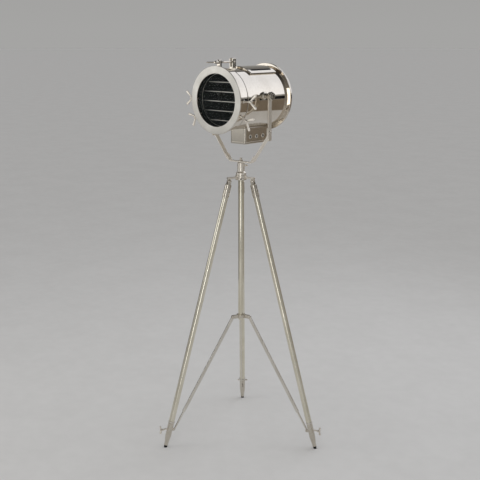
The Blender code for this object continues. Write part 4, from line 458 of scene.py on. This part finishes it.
def make_leg(index):
    number = index + 1
    azimuth = LEG_AZIMUTHS[index]
    body = "leg_%d" % number
    level = at(ROOT, around(HINGE_RADIUS, azimuth, HINGE_HEIGHT), (QUARTER, 0.0, azimuth))
    add_piece("leg_hinge_bolt_%d" % number, "stand", level, [domed_pin(0.003, 0.0065, 0.0036, 0.0081)],
              [POLISHED])
    hinge = at(ROOT, around(HINGE_RADIUS, azimuth, HINGE_HEIGHT), (0.0, -LEG_LEAN, azimuth))
    bottom = -0.0735
    socket = [(0.0, -0.0145), (0.0123, -0.0145), (SOCKET_RADIUS, -0.0167), (SOCKET_RADIUS, bottom + 0.036),
              (0.01395, bottom + 0.0353), (SOCKET_RADIUS, bottom + 0.0346), (SOCKET_RADIUS, bottom),
              (SLEEVE, bottom), (SLEEVE, bottom + 0.028), (0.0, bottom + 0.028)]
    parts = [lathe(socket, TUBE_STEPS, 0.0006)] + fork_ears(0.0156, 0.0035, 0.008, -0.0155)
    ribs = 14
    for turn in range(ribs):
        angle = 2 * pi * (turn + 0.5) / ribs
        parts.append(placed(block((0.0012, 0.0024, 0.031), 0.0004),
                            around(SOCKET_RADIUS + 0.0001, angle, bottom + 0.0180), (0.0, 0.0, angle)))
    add_piece("leg_socket_%d" % number, body, hinge, parts, [CAST])
    add_piece("leg_tube_%d" % number, body, hinge, [tube(bottom + 0.0277, 0.1223 - LEG_LENGTH)],
              [LEG_FINISHES[index]])
    base = at(hinge, (0.0, 0.0, -LEG_LENGTH))
    shoe = [(0.0, 0.142), (0.0108, 0.142), (0.0108, 0.122), (0.0147, 0.122), (0.0147, 0.118),
            (SHOE_RADIUS, 0.118), (SHOE_RADIUS, 0.056), (0.0088, 0.0225), (0.0086, 0.0095), (0.0, 0.0095)]
    lug_radius = 0.0062
    lug = [(0.0, -lug_radius), (0.0, lug_radius)] + arc((-LUG_REACH, 0.0), lug_radius, 0.5 * pi,
                                                        1.5 * pi, 20)
    # The collar's outer rim takes the light nickel: painted highlight.
    collar = painted(lathe(shoe, TUBE_STEPS, 0.0008), 1,
                     lambda point: 0.1175 < point.z < 0.1225 and hypot(point.x, point.y) > 0.0133)
    parts = [collar,
             placed(slab(lug, BRACE_THICKNESS, 0.0006), (0.0, -BRACE_SIDE, LUG_LEVEL), SIDEWAYS),
             placed(rivet_head(), (-LUG_REACH, -BRACE_SIDE - 0.5 * BRACE_THICKNESS, LUG_LEVEL),
                    SIDEWAYS)]
    add_piece("leg_shoe_%d" % number, body, base, parts, [CAST, HIGHLIGHT_EDGE])
    tip = lathe([(0.0, 0.0222), (0.0070, 0.0222), (0.0080, 0.0190), (0.0068, -0.004), (0.0, -0.004)],
                KNOB_STEPS, 0.0009)
    bmesh.ops.remove_doubles(tip, verts=tip.verts, dist=MERGE)
    tip.transform(base)
    cut = bmesh.ops.bisect_plane(tip, geom=tip.verts[:] + tip.edges[:] + tip.faces[:],
                                 plane_co=(0.0, 0.0, 0.0), plane_no=(0.0, 0.0, 1.0), clear_inner=True)
    bmesh.ops.edgeloop_fill(tip, edges=[item for item in cut["geom_cut"]
                                        if isinstance(item, bmesh.types.BMEdge)])
    add_piece("foot_tip_%d" % number, body, Matrix(), [tip], [RUBBER])
    axis = at(hinge, (SHOE_RADIUS * cos(LEG_LEAN), 0.0, 0.0895 - LEG_LENGTH - SHOE_RADIUS * sin(LEG_LEAN)),
              (0.0, QUARTER + LEG_LEAN, 0.0))
    span, blade_turn = (0.025, QUARTER) if index == 0 else (0.018, 0.0)
    add_piece("tee_screw_%d" % number, "clamp_screw_%d" % number, axis,
              hand_screw(shank=0.0035, hub=0.005, start=0.023, end=0.0345, span=span, root=0.0265,
                         tip=0.037, width=0.0068, thickness=0.0050, sink=0.006, blade_turn=blade_turn),
              [BAR])


def make_spreader():
    slide = at(ROOT, (0.0, 0.0, SPREADER_HEIGHT))
    radius, half = 0.020, 0.0075
    ring = lathe([(radius, half), (radius, -half), (SLEEVE, -half), (SLEEVE, half)], TUBE_STEPS, 0.0012,
                 closed=True)
    parts = [ring]
    cheek = 0.0026
    spread = 0.5 * (0.0046 + cheek)
    outline = [(-0.0245, 0.0078), (-0.0245, -0.0078)] + arc((0.0, 0.0), 0.0078, -QUARTER, QUARTER, 20)
    for number, azimuth in enumerate(LEG_AZIMUTHS, 1):
        mount = at(Matrix(), LEVEL, (0.0, 0.0, azimuth))
        for offset in (spread, -spread):
            plate = placed(slab(outline, cheek, 0.0005), (PIN_CIRCLE, BRACE_SIDE + offset, 0.0), SIDEWAYS)
            plate.transform(mount)
            parts.append(plate)
        pin_place = at(slide @ mount, (PIN_CIRCLE, BRACE_SIDE, 0.0), SIDEWAYS)
        add_piece("spreader_pin_%d" % number, "spreader_slider", pin_place,
                  [domed_pin(0.0025, 0.0045, 0.0016, 0.0052)], [POLISHED])
        make_brace(slide, number, azimuth)
    add_piece("spreader", "spreader_slider", slide, parts, [CAST])


def make_brace(slide, number, azimuth):
    length = hypot(BRACE_REACH, BRACE_DROP)
    pivot = at(slide, around(PIN_CIRCLE, azimuth), (0.0, -BRACE_LEAN, azimuth))
    wide, narrow = 0.00725, 0.0039
    shoulder = 0.090 - length
    outline = (arc((0.0, 0.0), wide, 0.0, pi, 24) + [(-wide, shoulder + 0.004), (-narrow, shoulder)]
               + arc((0.0, -length), narrow, pi, 2 * pi, 16)
               + [(narrow, shoulder), (wide, shoulder + 0.004)])
    parts = [placed(slab(outline, BRACE_THICKNESS, 0.0006), (0.0, BRACE_SIDE, 0.0), SIDEWAYS),
             placed(rivet_head(), (0.0, BRACE_SIDE + 0.5 * BRACE_THICKNESS, -length),
                    (-QUARTER, 0.0, 0.0))]
    add_piece("brace_%d" % number, "strap_%d" % number, pivot, parts, [BRACE_FINISHES[number - 1]])


# Yoke

def make_yoke():
    run, rise = 0.037 * cos(YOKE_SLANT), 0.037 * sin(YOKE_SLANT)
    half = 0.062
    corners = [(-half - run, rise), (-half, 0.0), (half, 0.0), (half + run, rise)]
    base = slab(bent_bar(corners, 0.007, BAR_THICKNESS), BAR_WIDTH, 0.0009)
    add_piece("yoke_base", "yoke", at(ROOT, (0.0, 0.0, YOKE_LEVEL), SIDEWAYS), [base], [BAR])
    bar_top = 1.2745
    spigot = [(0.0, bar_top + 0.015), (0.006, bar_top + 0.015)] + threads(0.006, bar_top + 0.0142,
                                                                         bar_top + 0.002)
    spigot += [(0.006, 1.2692), (0.013, 1.2692), (0.013, 1.2671), (0.008, 1.2671), (0.008, 1.2408),
               (0.0, 1.2408)]
    add_piece("yoke_spigot", "yoke", ROOT, [lathe(spigot, KNOB_STEPS, 0.0005)], [POLISHED])
    hexagon = [(0.0092 * cos(pi / 3 * i), 0.0092 * sin(pi / 3 * i)) for i in range(6)]
    add_piece("spigot_nut", "yoke", at(ROOT, (0.0, 0.0, bar_top + 0.0033)), [slab(hexagon, 0.006, 0.0006)],
              [POLISHED])
    for name, side in (("left", -1), ("right", 1)):
        make_yoke_side(name, side)


def make_yoke_side(name, side):
    offset = BAR_THICKNESS + GAP
    start_x = 0.062 + offset * sin(YOKE_SLANT) + 0.014 * cos(YOKE_SLANT)
    start_z = YOKE_LEVEL - offset * cos(YOKE_SLANT) + 0.014 * sin(YOKE_SLANT)
    bend_z = start_z + (ARM_UPRIGHT - start_x) * tan(YOKE_SLANT)
    corners = [(side * start_x, start_z), (side * ARM_UPRIGHT, bend_z),
               (side * ARM_UPRIGHT, bend_z + 0.036)]
    arm = slab(bent_bar(corners, 0.007, BAR_THICKNESS), BAR_WIDTH, 0.0009)
    add_piece("yoke_arm_" + name, "yoke", at(ROOT, LEVEL, SIDEWAYS), [arm], [BAR])
    bolt_level = bend_z + 0.019
    bottom = bolt_level - 0.0381
    top = TILT_HEIGHT + 0.0175
    outline = (arc((0.0, top - 0.0105), 0.0105, 0.0, pi, 24)
               + [(-0.0105, bottom + 0.002), (-0.0085, bottom), (0.0085, bottom), (0.0105, bottom + 0.002)])
    bar = at(ROOT, (side * SIDE_BAR_MIDDLE, 0.0, 0.0), (QUARTER, 0.0, side * QUARTER))
    add_piece("yoke_side_bar_" + name, "yoke", bar, [slab(outline, BAR_THICKNESS, 0.0009)], [BAR])
    inner = ARM_UPRIGHT - 0.0025
    outer = SIDE_BAR_MIDDLE + 0.0025
    bolt = at(ROOT, (side * 0.5 * (inner + outer), 0.0, bolt_level), (0.0, side * QUARTER, 0.0))
    add_piece("yoke_bolt_" + name, "yoke", bolt,
              [domed_pin(0.003, 0.006, 0.003, 0.5 * (outer - inner) + GAP)], [POLISHED])


# Lamp head

def make_barrel():
    bead = BARREL_RADIUS + 0.002
    profile = [(bead, BARREL_FRONT), (bead, BARREL_FRONT - 0.004), (BARREL_RADIUS, BARREL_FRONT - 0.0052),
               (BARREL_RADIUS, RIM_FRONT), (RIM_RADIUS, RIM_FRONT - 0.0015), (RIM_RADIUS, RIM_BACK),
               (BARREL_BORE, RIM_BACK), (BARREL_BORE, BARREL_FRONT)]
    shell = painted(lathe(profile, DRUM_STEPS, 0.0012, closed=True), 1,
                    lambda point: hypot(point.x, point.y) < BARREL_BORE + 0.0002)
    add_piece("barrel_shell", "head", BARREL, [shell], [POLISHED, BLACK])
    back = RIM_BACK - GAP - 0.0055
    radii = [0.127 - 0.093 * index / 16 for index in range(17)]

    def bulge(radius):
        share = (radius - 0.034) / 0.093
        return back - 0.012 * (1 - share * share)

    outside = [(radius, bulge(radius)) for radius in radii]
    inside = [(radius, bulge(radius) + 0.0015) for radius in radii[::-1]]
    face = RIM_BACK - GAP
    profile = ([(0.0, inside[0][1])] + inside[:-1] + [(0.1255, back + 0.0015), (0.1255, face),
               (RIM_RADIUS, face), (RIM_RADIUS, back)] + outside + [(0.0, outside[-1][1])])
    add_piece("rear_cover", "head", BARREL, [lathe(profile, DRUM_STEPS, 0.0012)], [POLISHED])


def make_front_ring():
    back = BARREL_FRONT + 0.0034
    profile = [(RING_RADIUS, RING_FACE), (RING_RADIUS, RING_BACK), (SKIRT_RADIUS, RING_BACK - 0.0015),
               (SKIRT_RADIUS, back), (SKIRT_BORE, back), (SKIRT_BORE, RING_BACK),
               (RING_OPENING, RING_BACK), (RING_OPENING, RING_FACE)]
    ring = painted(lathe(profile, DRUM_STEPS, 0.0024, closed=True), 1,
                   lambda point: point.z < RING_FACE - 0.0005)
    parts = [ring]
    fork = forked_lug(0.009, 0.0025, 0.1330, 0.1530, 0.168)
    parts.append(painted(placed(slab(fork, 0.011, 0.0007), (0.0, 0.0, 0.1355)), 1))
    for angle in WING_ANGLES:
        boss = lathe([(0.0, 0.0045), (0.0060, 0.0045), (0.0075, 0.0030), (0.0075, -0.0015),
                      (0.0, -0.0015)], SMALL_STEPS, 0.0006)
        parts.append(painted(placed(boss, around(SKIRT_RADIUS, angle, WING_LEVEL),
                                    (0.0, QUARTER, angle)), 1))
    add_piece("front_ring", "head", BARREL, parts, [SATIN, POLISHED])
    glass = [(0.0, 0.1537), (0.1315, 0.1537), (0.1315, 0.1497), (0.0, 0.1497)]
    add_piece("lens_glass", "head", BARREL, [lathe(glass, DRUM_STEPS, 0.0004)], [GLASS])


def make_louvre():
    radius, bore, flange = 0.112, 0.1102, 0.1315
    profile = [(radius, 0.127), (radius, 0.122), (flange, 0.122), (flange, 0.118), (radius, 0.118),
               (radius, 0.094), (bore, 0.094), (bore, 0.127)]
    # The ring's front rim takes the light nickel: painted highlight.
    ring = painted(lathe(profile, DRUM_STEPS, 0.0004, closed=True), 1,
                   lambda point: point.z > 0.1262)
    parts = [ring]
    blades, pitch, tilt, half_depth = 5, 0.0405, radians(25.0), 0.016
    reach, highlight_band, lip_radius = 0.1108, 0.0035, 0.0017
    middle = 0.120 - half_depth * cos(tilt)
    for index in range(blades):
        level = (index - 0.5 * (blades - 1)) * pitch
        near = sqrt(reach ** 2 - level ** 2)
        far = sqrt(reach ** 2 - (level + half_depth * sin(tilt)) ** 2)
        outline = [(-near, half_depth), (near, half_depth), (far, -half_depth), (-far, -half_depth)]
        blade = placed(slab(outline, 0.0014, 0.0003, 2), LEVEL, SIDEWAYS)
        # Each blade's front band and its round lip take the light nickel: painted highlight.
        painted(blade, 1, lambda point: point.z > half_depth - highlight_band)
        parts.append(placed(blade, (0.0, level, middle), (tilt, 0.0, 0.0)))
        lip = lathe([(0.0, near), (lip_radius, near), (lip_radius, -near), (0.0, -near)], 16, 0.0004)
        front = (0.0, level - half_depth * sin(tilt), middle + half_depth * cos(tilt))
        parts.append(painted(placed(lip, front, (0.0, QUARTER, 0.0)), 1))
    rod_radius, rod_half = 0.002, 0.0878
    rod = lathe([(0.0, rod_half), (rod_radius, rod_half), (rod_radius, -rod_half), (0.0, -rod_half)], 24,
                0.0004)
    parts.append(placed(rod, (0.0, 0.0, 0.1195), SIDEWAYS))
    add_piece("louvre", "head", BARREL, parts, [BLACK, HIGHLIGHT_EDGE])


def make_inside():
    mouth, neck, wall, depth = 0.112, 0.0225, 0.0014, 0.082
    curve = []
    for index in range(17):
        radius = neck + (mouth - neck) * index / 16
        curve.append((radius, -0.012 - depth + depth * (radius ** 2 - neck ** 2) / (mouth ** 2 - neck ** 2)))
    outside = [(radius, height - wall) for radius, height in curve[::-1]]
    profile = curve + [(0.1286, -0.012), (0.1286, -0.0134)] + outside
    # The reflector takes the near-black finish: painted shade.
    add_piece("reflector", "head", BARREL, [lathe(profile, 96, 0.0004, closed=True)], [SHADED_REFLECTOR])
    holder = [(0.0, -0.082), (0.021, -0.082), (0.021, -0.174), (0.030, -0.174), (0.030, -0.1800),
              (0.0, -0.1800)]
    add_piece("lamp_holder", "head", BARREL, [lathe(holder, KNOB_STEPS, 0.0015)], [CERAMIC])
    globe = arc((0.0, -0.0447), 0.029, QUARTER, -1.25, 20)
    bulb = [(0.0, globe[0][1])] + globe[1:] + [(0.013, -0.0817), (0.0, -0.0817)]
    add_piece("lamp_bulb", "head", BARREL, [lathe(bulb, KNOB_STEPS, 0.001)], [OPAL])


def make_vent_cover():
    low, high, top, half = -0.139, 0.028, BARREL_RADIUS + 0.008, radians(36.5)
    steps = 36
    bm = bmesh.new()
    profile = soften([(BARREL_BORE + 0.0012, low), (top, low), (top, high), (BARREL_BORE + 0.0012, high)],
                     0.003, closed=False, steps=5)
    verts = [bm.verts.new((radius * sin(half), radius * cos(half), along)) for radius, along in profile]
    edges = [bm.edges.new(pair) for pair in zip(verts, verts[1:] + verts[:1])]
    bmesh.ops.spin(bm, geom=verts + edges, cent=(0.0, 0.0, 0.0), axis=(0.0, 0.0, 1.0), angle=2 * half,
                   steps=steps)
    for side in (1, -1):
        end = [vert for vert in bm.verts
               if abs(atan2(vert.co.x, vert.co.y) - side * half) < 0.0001]
        end.sort(key=lambda vert: (vert.co.z, hypot(vert.co.x, vert.co.y) * (1 if vert.co.z < 0 else -1)))
        bm.faces.new(end)
    bmesh.ops.recalc_face_normals(bm, faces=bm.faces)
    rims = [edge for edge in bm.edges if len(edge.link_faces) == 2
            and edge.calc_face_angle(0.0) > 0.9 and hypot(*edge.verts[0].co.xy) > BARREL_RADIUS + 0.002]
    bmesh.ops.bevel(bm, geom=rims, offset=0.002, offset_type="OFFSET", segments=3, profile=0.5,
                    affect="EDGES", material=-1)
    parts = [bm]
    # Two black strips along the cover: painted shade for its slots.
    for angle in (-27.5, 27.5):
        parts.append(shade_slot_strip(radians(angle), radians(2.2), top, low + 0.018, high - 0.018))
    add_piece("vent_cover", "head", BARREL, parts, [POLISHED, BLACK])


def shade_slot_strip(angle, half, radius, low, high):
    """A long black strip along the cover, a hair above its skin: painted shade that stands in for a slot."""
    bm = bmesh.new()
    corners = soften([(-half * radius, low), (half * radius, low), (half * radius, high),
                      (-half * radius, high)], 0.004, closed=True)
    verts = []
    for across, along in corners:
        turn = angle + across / radius
        verts.append(bm.verts.new((radius * sin(turn), radius * cos(turn), along)))
    face = bm.faces.new(verts)
    grown = bmesh.ops.extrude_face_region(bm, geom=[face])["geom"]
    for item in grown:
        if isinstance(item, bmesh.types.BMVert):
            item.co.xy = item.co.xy.normalized() * (radius + 0.00025)
    return painted(bm, 1)


def make_housing():
    half_width, front, back = 0.0435, 0.0225, -0.1545
    bottom = -BARREL_RADIUS - 0.066
    top = -0.1236
    middle = 0.5 * (front + back)
    length = front - back
    outline = soften([(-half_width, 0.5 * length), (half_width, 0.5 * length), (half_width, -0.5 * length),
                      (-half_width, -0.5 * length)], 0.009, closed=True, steps=6)
    level = (0.0, 0.5 * (top + bottom), middle)
    flat = (-QUARTER, 0.0, 0.0)
    parts = [placed(slab([(x, -y) for x, y in outline], top - bottom, 0.0035, 4), level, flat)]
    lip = soften([(-half_width - 0.001, 0.5 * length + 0.001), (half_width + 0.001, 0.5 * length + 0.001),
                  (half_width + 0.001, -0.5 * length - 0.001), (-half_width - 0.001, -0.5 * length - 0.001)],
                 0.010, closed=True, steps=6)
    parts.append(placed(slab([(x, -y) for x, y in lip], 0.003, 0.0011), (0.0, bottom + 0.0085, middle), flat))
    hole_level = 0.0315 - 0.1965
    for index in range(4):
        along = front - 0.0345 - index * 0.0415
        for side in (1, -1):
            # Each hole is a light nickel ring, painted highlight, round a black disc, painted shade that
            # stands in for the opening.
            ring = lathe([(0.0046, -0.0008), (0.0046, 0.0016), (0.009, 0.0016), (0.009, -0.0008)],
                         SMALL_STEPS, 0.0007, closed=True)
            place = (side * half_width, hole_level, along)
            parts.append(painted(placed(ring, place, (0.0, side * QUARTER, 0.0)), 2))
            parts.append(placed(painted_shade_hole(0.0048, 0.0006), place, (0.0, side * QUARTER, 0.0)))
    add_piece("ballast_housing", "head", BARREL, parts, [CAST, BLACK, HIGHLIGHT_EDGE])
    gland = [(0.004, 0.020), (0.009, 0.020), (0.009, 0.004), (0.0125, 0.004), (0.0125, 0.0), (0.0, 0.0),
             (0.0, 0.010), (0.004, 0.010)]
    add_piece("cable_gland", "head", at(BARREL, (0.0, 0.024 - 0.1965, back - GAP), (pi, 0.0, 0.0)),
              [lathe(gland, SMALL_STEPS, 0.0009, closed=True)], [BLACK])


def make_latch():
    half, pivot = 0.0095, (0.0, LATCH_RADIUS, 0.052)
    fork = forked_lug(half, 0.003, 0.1295, 0.1375, 0.1735)
    parts = [placed(slab(fork, 0.022, 0.0009), (0.0, 0.0, pivot[2])),
             placed(domed_pin(0.003, 0.0048, 0.0016, half), pivot, (0.0, QUARTER, 0.0))]
    add_piece("latch_bracket", "head", BARREL, parts, [CAST])
    swing = at(BARREL, pivot)
    nut_base, nut_length = 0.0899, 0.020
    end = nut_base + nut_length + 0.004
    eye = lathe([(0.0034, 0.0042), (0.0075, 0.0042), (0.0075, -0.0042), (0.0034, -0.0042)], SMALL_STEPS,
                0.0010, closed=True)
    rod = lathe([(0.0, end), (0.0036, end)] + threads(0.0042, end - 0.0006, 0.060) + [(0.0042, 0.058),
                (0.0042, 0.0058), (0.0, 0.0058)], SMALL_STEPS, 0.0003)
    add_piece("swing_bolt", "latch_bolt", swing, [placed(eye, LEVEL, (0.0, QUARTER, 0.0)), rod],
              [POLISHED])
    add_piece("latch_wing_nut", "latch_nut", at(swing, (0.0, 0.0, nut_base)),
              hand_screw(shank=0.0042, hub=0.0066, start=0.0, end=nut_length, span=0.029, root=0.0085,
                         tip=0.043, width=0.0095, thickness=0.0042, sink=0.0, blade_turn=0.0, nut=True),
              [CAST])


def make_wing_screws():
    for number, angle in enumerate(WING_ANGLES, 1):
        axis = at(BARREL, around(SKIRT_RADIUS, angle, WING_LEVEL), (0.0, QUARTER, angle))
        add_piece("wing_screw_%d" % number, "wing_%d" % number, axis,
                  hand_screw(shank=0.0038, hub=0.0064, start=0.030, end=0.045, span=0.0305, root=0.0355,
                             tip=0.070, width=0.009, thickness=0.0042, sink=0.0043, blade_turn=QUARTER),
                  [BAR])


def make_tilt_pivots():
    for name, side in (("left", -1), ("right", 1)):
        tilt = at(ROOT, (0.0, 0.0, TILT_HEIGHT), (0.0, side * QUARTER, 0.0))
        inner, outer = 0.1625 - GAP, 0.1675
        flange = BARREL_RADIUS + 0.006
        profile = [(0.0, outer + 0.0095), (0.005, outer + 0.0095)] + threads(0.005, outer + 0.009, outer)
        profile += [(0.005, inner), (0.011, inner), (0.011, flange + 0.0035), (0.0165, flange),
                    (0.0165, 0.1278), (0.0, 0.1278)]
        add_piece("trunnion_" + name, "head", tilt, [lathe(profile, KNOB_STEPS, 0.0006)], [CAST])
        axis = at(tilt, (0.0, 0.0, outer + GAP))
        widest, scallop, lobes = 0.0185, 0.0022, 6
        outline = []
        for index in range(DRUM_STEPS):
            angle = 2 * pi * index / DRUM_STEPS
            radius = widest - scallop * (1 - cos(lobes * angle)) / 2
            outline.append((radius * cos(angle), radius * sin(angle)))
        knob = placed(slab(outline, 0.010, 0.0024, 4), (0.0, 0.0, 0.0075))
        hub = lathe([(0.0, 0.0134), (0.0068, 0.0134), (0.0078, 0.0122), (0.0115, 0.006), (0.0115, 0.0),
                     (0.0, 0.0)], KNOB_STEPS, 0.0007)
        add_piece("tilt_knob_" + name, "knob_" + name, axis, [knob, hub], [CAST])


# Studio

def add_light(name, place, aim, width, height, power, tint="FFFFFF"):
    lamp = bpy.data.lights.new(name, "AREA")
    lamp.shape = "RECTANGLE"
    lamp.size = width
    lamp.size_y = height
    lamp.energy = power
    lamp.color = linear(tint)[:3]
    holder = bpy.data.objects.new(name, lamp)
    holder.location = place
    holder.rotation_euler = (Vector(aim) - Vector(place)).to_track_quat("-Z", "Y").to_euler()
    holder.visible_camera = False
    bpy.context.scene.collection.objects.link(holder)
    return holder


def make_floor():
    bm = bmesh.new()
    bmesh.ops.create_circle(bm, cap_ends=True, segments=96, radius=90.0)
    bmesh.ops.recalc_face_normals(bm, faces=bm.faces)
    mesh = bpy.data.meshes.new("floor")
    bm.to_mesh(mesh)
    bm.free()
    mesh.materials.append(surface("studio_floor", "CFCDC9", "CBC9C5", 0.75, 0.05, (3.0, 3.0, 3.0),
                                  metallic=0.0))
    floor = bpy.data.objects.new("floor", mesh)
    bpy.context.scene.collection.objects.link(floor)


def make_world():
    world = bpy.data.worlds.new("studio")
    bpy.context.scene.world = world
    world.use_nodes = True
    tree = world.node_tree
    tree.nodes.clear()
    rays = add_node(tree, "ShaderNodeLightPath").outputs
    shiny = add_node(tree, "ShaderNodeMath", {0: rays["Is Camera Ray"], 1: rays["Is Glossy Ray"]},
                     operation="MAXIMUM")
    seen = add_node(tree, "ShaderNodeMath", {0: shiny.outputs["Value"], 1: rays["Is Transmission Ray"]},
                    operation="MAXIMUM")
    direction = add_node(tree, "ShaderNodeTexCoord").outputs["Generated"]
    height = add_node(tree, "ShaderNodeSeparateXYZ", {"Vector": direction}).outputs["Z"]
    ramp = add_node(tree, "ShaderNodeValToRGB", {"Fac": height})
    stops = ramp.color_ramp.elements
    stops[0].position, stops[0].color = 0.0, (0.376, 0.373, 0.366, 1.0)
    stops[1].position, stops[1].color = 0.75, (0.055, 0.055, 0.06, 1.0)
    middle = stops.new(0.32)
    middle.color = (0.29, 0.285, 0.275, 1.0)
    ambient = add_node(tree, "ShaderNodeBackground", {"Color": linear("F4F5F8"), "Strength": 0.72})
    backdrop = add_node(tree, "ShaderNodeBackground", {"Color": ramp.outputs["Color"], "Strength": 1.0})
    mix = add_node(tree, "ShaderNodeMixShader", {
        0: seen.outputs["Value"], 1: ambient.outputs["Background"], 2: backdrop.outputs["Background"]})
    add_node(tree, "ShaderNodeOutputWorld", {"Surface": mix.outputs["Shader"]})


def add_card(name, place, width, height, shade):
    """A card that the polished pieces reflect, upright and facing the lamp."""
    bm = bmesh.new()
    bmesh.ops.create_grid(bm, x_segments=1, y_segments=1, size=0.5)
    bmesh.ops.scale(bm, vec=(width, height, 1.0), verts=bm.verts)
    mesh = bpy.data.meshes.new(name)
    bm.to_mesh(mesh)
    bm.free()
    mesh.materials.append(surface(name, shade, shade, 0.9, 0.05, (3.0, 3.0, 3.0), metallic=0.0))
    card = bpy.data.objects.new(name, mesh)
    heading = atan2(CENTRE[1] - place[1], CENTRE[0] - place[0])
    card.location = place
    card.rotation_euler = (QUARTER, 0.0, heading + QUARTER)
    card.visible_camera = False
    card.visible_shadow = False
    card.visible_diffuse = False
    bpy.context.scene.collection.objects.link(card)


def make_lights():
    middle = (CENTRE[0], CENTRE[1], 1.45)
    add_light("softbox_right_back", (0.62, 2.05, 2.72), middle, 3.4, 2.0, 23.0, "F1F5FF")
    add_light("softbox_left_front", (-1.95, -2.10, 2.15), middle, 1.7, 2.0, 12.0)
    add_light("strip_front", (1.60, -2.85, 1.35), (CENTRE[0], CENTRE[1], 0.9), 0.5, 2.4, 12.0)
    add_card("card_right", (1.14, 2.34, 0.66), 1.7, 1.30, "938675")
    add_card("card_line", (1.14, 2.30, 1.50), 1.7, 0.34, "141414")
    add_card("card_left", (-2.60, -0.53, 0.90), 1.2, 1.80, "3A3733")


def make_camera():
    data = bpy.data.cameras.new("camera")
    data.lens = 69.05
    data.sensor_width = 36.0
    camera = bpy.data.objects.new("camera", data)
    camera.location = (2.6618, -2.9470, 1.841)
    camera.rotation_euler = (QUARTER - 0.225, 0.0, 0.7409)
    bpy.context.scene.collection.objects.link(camera)
    bpy.context.scene.camera = camera


make_hub()
make_post()
make_column()
for leg in range(3):
    make_leg(leg)
make_spreader()
make_yoke()
make_barrel()
make_front_ring()
make_louvre()
make_inside()
make_vent_cover()
make_housing()
make_latch()
make_wing_screws()
make_tilt_pivots()
make_floor()
make_world()
make_lights()
make_camera()
bpy.context.scene.view_settings.view_transform = "Standard"
